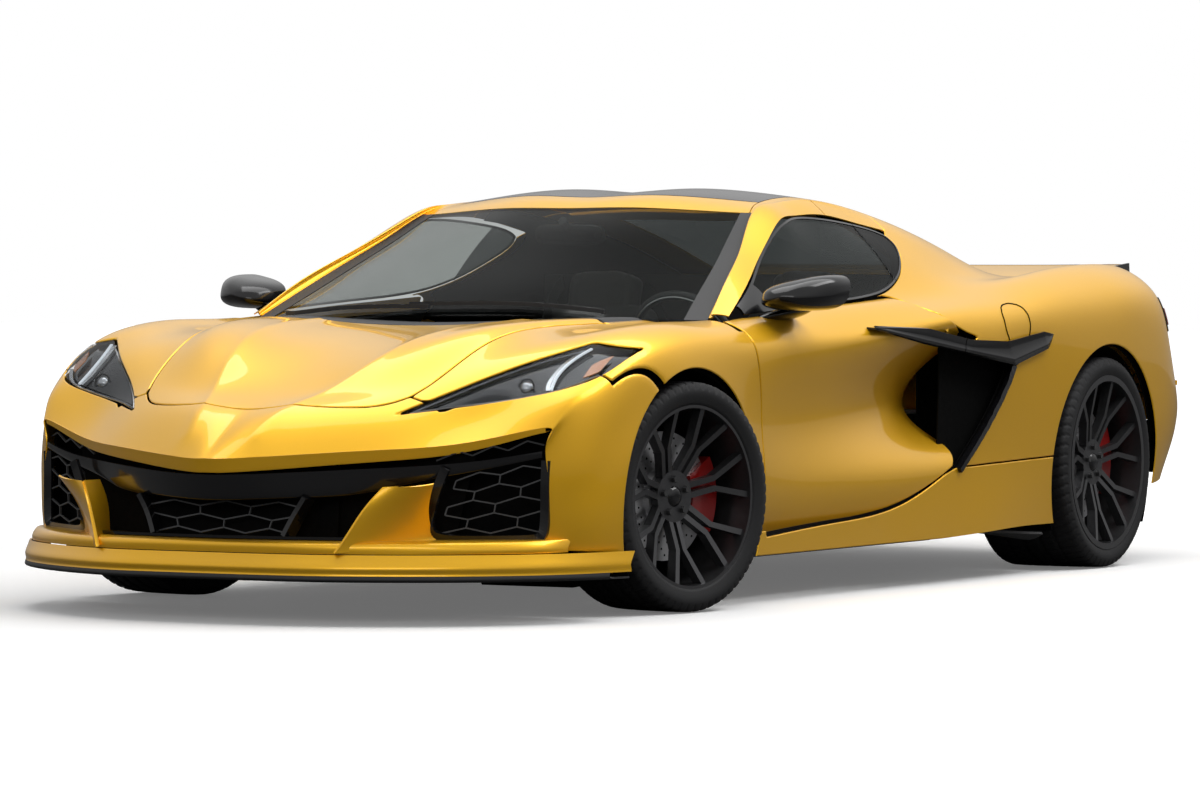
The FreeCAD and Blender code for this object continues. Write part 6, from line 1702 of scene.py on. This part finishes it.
put("corner_lamp_frames", both_sides(corner_frame), GLOSS_BLACK, "car")
put("corner_lamp_lenses", both_sides(corner_lens), RED_LENS, "car")
ledge_line = surface(TAIL, [2.75], np.linspace(-2.95, 2.95, 90))[0] + (0, 0.002, 0)
put("bumper_ledge", bar(ledge_line, flat_section(0.030, 0.016)), PAINT, "car")
VENT_LOW = surface(TAIL, [2.25, 3.35], [1.55, 2.45])
vent_corners = [VENT_LOW[1, 0], VENT_LOW[1, 1], VENT_LOW[0, 1], VENT_LOW[0, 0]]
vent_mesh = honeycomb(patch(np.array(vent_corners) + (0, 0.012, 0)), 6, 5, 0.004, 0.006)
put("rear_vents", both_sides(vent_mesh), MESH_GREY, "car")
# Painted shade: near-black wells behind the vent meshes stand for the shade inside the vents.
put("rear_vent_shade_wells", both_sides(tail_skin((2.2, 3.4), (1.5, 2.5), 0.003)), PAINTED_SHADE_BLACK, "car")

# %% [markdown]
# ### Foot, pipes and wing
# The ramp under the tail is one bent plate with four upright fins. A pipe is a profile
# turned round its axis: outer wall, rolled lip and bore. The wing is a small net of its own.

# %% Foot, pipes and wing
foot_profile = [(1.531, .135), (1.70, .160), (1.84, .215), (1.875, .285)]
foot_rows = np.array([
    [(x, y - 0.10 * (x / 0.62) ** 4, z) for x in np.linspace(-0.62, 0.62, 30)] for y, z in foot_profile])
foot_rows[..., 1] = along(foot_rows[..., 1])
ramp = plate(spline(foot_rows, np.linspace(0, 3, 16)), 0.010)
put("diffuser_ramp", ramp, MATT_BLACK, "car", ["rear_diffuser"])


def fin(x):
    """Upright plate under the tail, a little farther out at its rear."""
    corners = [(x, 1.93, .118), (x * 1.03, 2.225, .180), (x * 1.03, 2.235, .285), (x, 1.93, .20)]
    return plate(patch(corners)(*shares_grid(8)), 0.008)


put("diffuser_fins", joined(*[fin(x) for x in (-.46, -.30, .30, .46)]), MATT_BLACK, "car")
PIPE_PROFILE = [(2.12, .0475), (2.345, .0485), (2.357, .0500), (2.3605, .0475), (2.352, .0440), (2.15, .0430)]
pipe_turn = circle_of(40, 1.0)


def pipe_rings(profile, turn):
    """Rings of a pipe, one for each place and radius of its profile."""
    return np.array([[(0.13 + r * c, y, 0.352 + r * s) for c, s in turn] for y, r in profile])


pipe_grid = pipe_rings(PIPE_PROFILE, np.vstack([pipe_turn, pipe_turn[:1]]))
pipe_wall = plate(pipe_grid[:4], 0.002)
bore = plate(pipe_grid[3:], 0.001)
# Painted shade: a near-black plug inside each bore stands for the shade deep in the pipe.
bore_end = capped(pipe_rings([(2.16, .043), (2.17, .043)], pipe_turn))
put("tail_pipes", both_sides(joined(pipe_wall, bore)), STEEL, "car", ["exhaust_tips"])
put("pipe_bore_shade", both_sides(bore_end), PAINTED_SHADE_BLACK, "car")
WING_SHARES = [
    [(0, 2.02, .946), (0, 2.17, .968), (0, 2.335, .988)],
    [(.35, 2.02, .946), (.35, 2.16, .968), (.35, 2.325, .988)],
    [(.60, 1.98, .950), (.60, 2.12, .974), (.60, 2.275, .990)],
    [(.72, 1.93, .952), (.72, 2.05, .974), (.72, 2.215, .990)],
]
wing = surface(np.array(WING_SHARES), np.linspace(0, 2, 18), np.linspace(-3, 3, 90))
put("wing", plate(wing, 0.014), PAINT, "car", ["rear_spoiler"])
wing_edge = bar(wing[-1] + (0, 0.003, -0.009), flat_section(0.006, 0.020))
wing_side = bar(wing[:, -1] + (0.004, 0.002, -0.012), flat_section(0.008, 0.034))
put("wing_ends", joined(wing_edge, both_sides(wing_side)), GLOSS_BLACK, "car")
print("tail ready")


# %% [markdown]
# ## What lies under the panels
# Through a shut line or an open wheel arch one sees dark liners, never the far side of the
# car. They are the same surfaces a little deeper, and the frame members behind the grille
# keep clear of the skins. The liners behind fenders and hips and the walls in the intakes are
# near-black painted shade, and the wheel houses are real liners drawn near-black as painted shade.

# %% Liners and beams
hood_liner = skin(
    FRONT, (1.1, 7.0), (-2.95, 2.95), [inset(hood_line, 0.03)], depth=0.006, cell=0.03, lift=-0.014, hem=0)
put("hood_liner", hood_liner, MATT_BLACK, "hood")
door_board = skin(
    FRONT, (7.3, 13), (4.0, 8.9), [inset(door_line, 0.035)], depth=0.008, cell=0.025, lift=-0.045, hem=0)
put_pair("door_board", door_board, TRIM, "door")
# Painted shade: the front and rear liners are near-black sheets that stand for the shade behind the shut
# lines.
LINER_FOOT_Z = 0.40
front_fields = [
    inset(outside(door_line), 0.03), outside(lamp_line), front_arch,
    lambda points: points[:, 2] - LINER_FOOT_Z]
front_liner = skin(FRONT, (0.4, 8.9), (2.2, 8.8), front_fields, depth=0.003, cell=0.03, lift=-0.034, hem=0)
put("front_shade_liners", both_sides(front_liner), PAINTED_SHADE_BLACK, "car")
rear_fields = [outside(window_line), outside(door_line), outside(intake_line), rear_arch]
rear_liner = skin(REAR, (6.2, 16.8), (2.2, 10.8), rear_fields, depth=0.003, cell=0.03, lift=-0.026, hem=0)
put("rear_shade_liners", both_sides(rear_liner), PAINTED_SHADE_BLACK, "car")
# Painted shade: near-black walls inside the intakes stand for the shade there.
INTAKE_WALL = [(.800, .44, .33), (.900, .78, .33), (.900, .78, .735), (.800, .44, .735)]
intake_wall = plate(patch(INTAKE_WALL)(*shares_grid(8)), 0.004)
put("intake_shade_walls", both_sides(intake_wall), PAINTED_SHADE_BLACK, "car")


def well(y, z, radius, inner, outer, longer=0.0, count=60):
    """Wheel house: a dark arc over the wheel, with a wall on its inner side. Inside, where a
    steered wheel swings, its radius at an angle a is larger by sqrt(|cos a|) of longer."""
    turn = np.linspace(math.radians(-28), math.radians(208), count)
    way = np.column_stack([np.zeros(count), np.cos(turn), np.sin(turn)])
    arc = (0, y, z) + radius * way
    wider = arc + longer * np.sqrt(np.abs(way[:, 1:2])) * way
    middle_arc, inner_arc = wider + (outer - 0.15, 0, 0), wider + (inner, 0, 0)
    shell_grid = np.concatenate([
        between_lines(arc + (outer, 0, 0), middle_arc, 4), between_lines(middle_arc, inner_arc, 4)[1:]])
    hub = np.array([(inner, y, z)])
    rings = np.array([(inner_arc - hub) * share + hub for share in np.linspace(1, 0.45, 5)])
    return joined(plate(shell_grid, 0.003), plate(rings, 0.003))


# The wheel houses are real black liners, drawn near-black as painted shade.
wells = joined(well(*FRONT_ARCH, 0.392, 0.500, 0.945, 0.062), well(*REAR_ARCH, 0.400, 0.600, 0.965))
put("wheel_houses", both_sides(wells), PAINTED_SHADE_BLACK, "car")
cowl_member = bar([(-.66, -.93, .76), (.66, -.93, .76)], flat_section(0.10, 0.08))
NOSE_MEMBER = [(-.44, -2.03, .47), (0, -2.10, .47), (.44, -2.03, .47)]
nose_member = bar(smooth_line(NOSE_MEMBER), flat_section(0.05, 0.05))
put("cross_members", joined(cowl_member, nose_member), SATIN_BLACK, "car", ["body_beams"])
print(triangles_in_all(), "triangles in the whole scene")
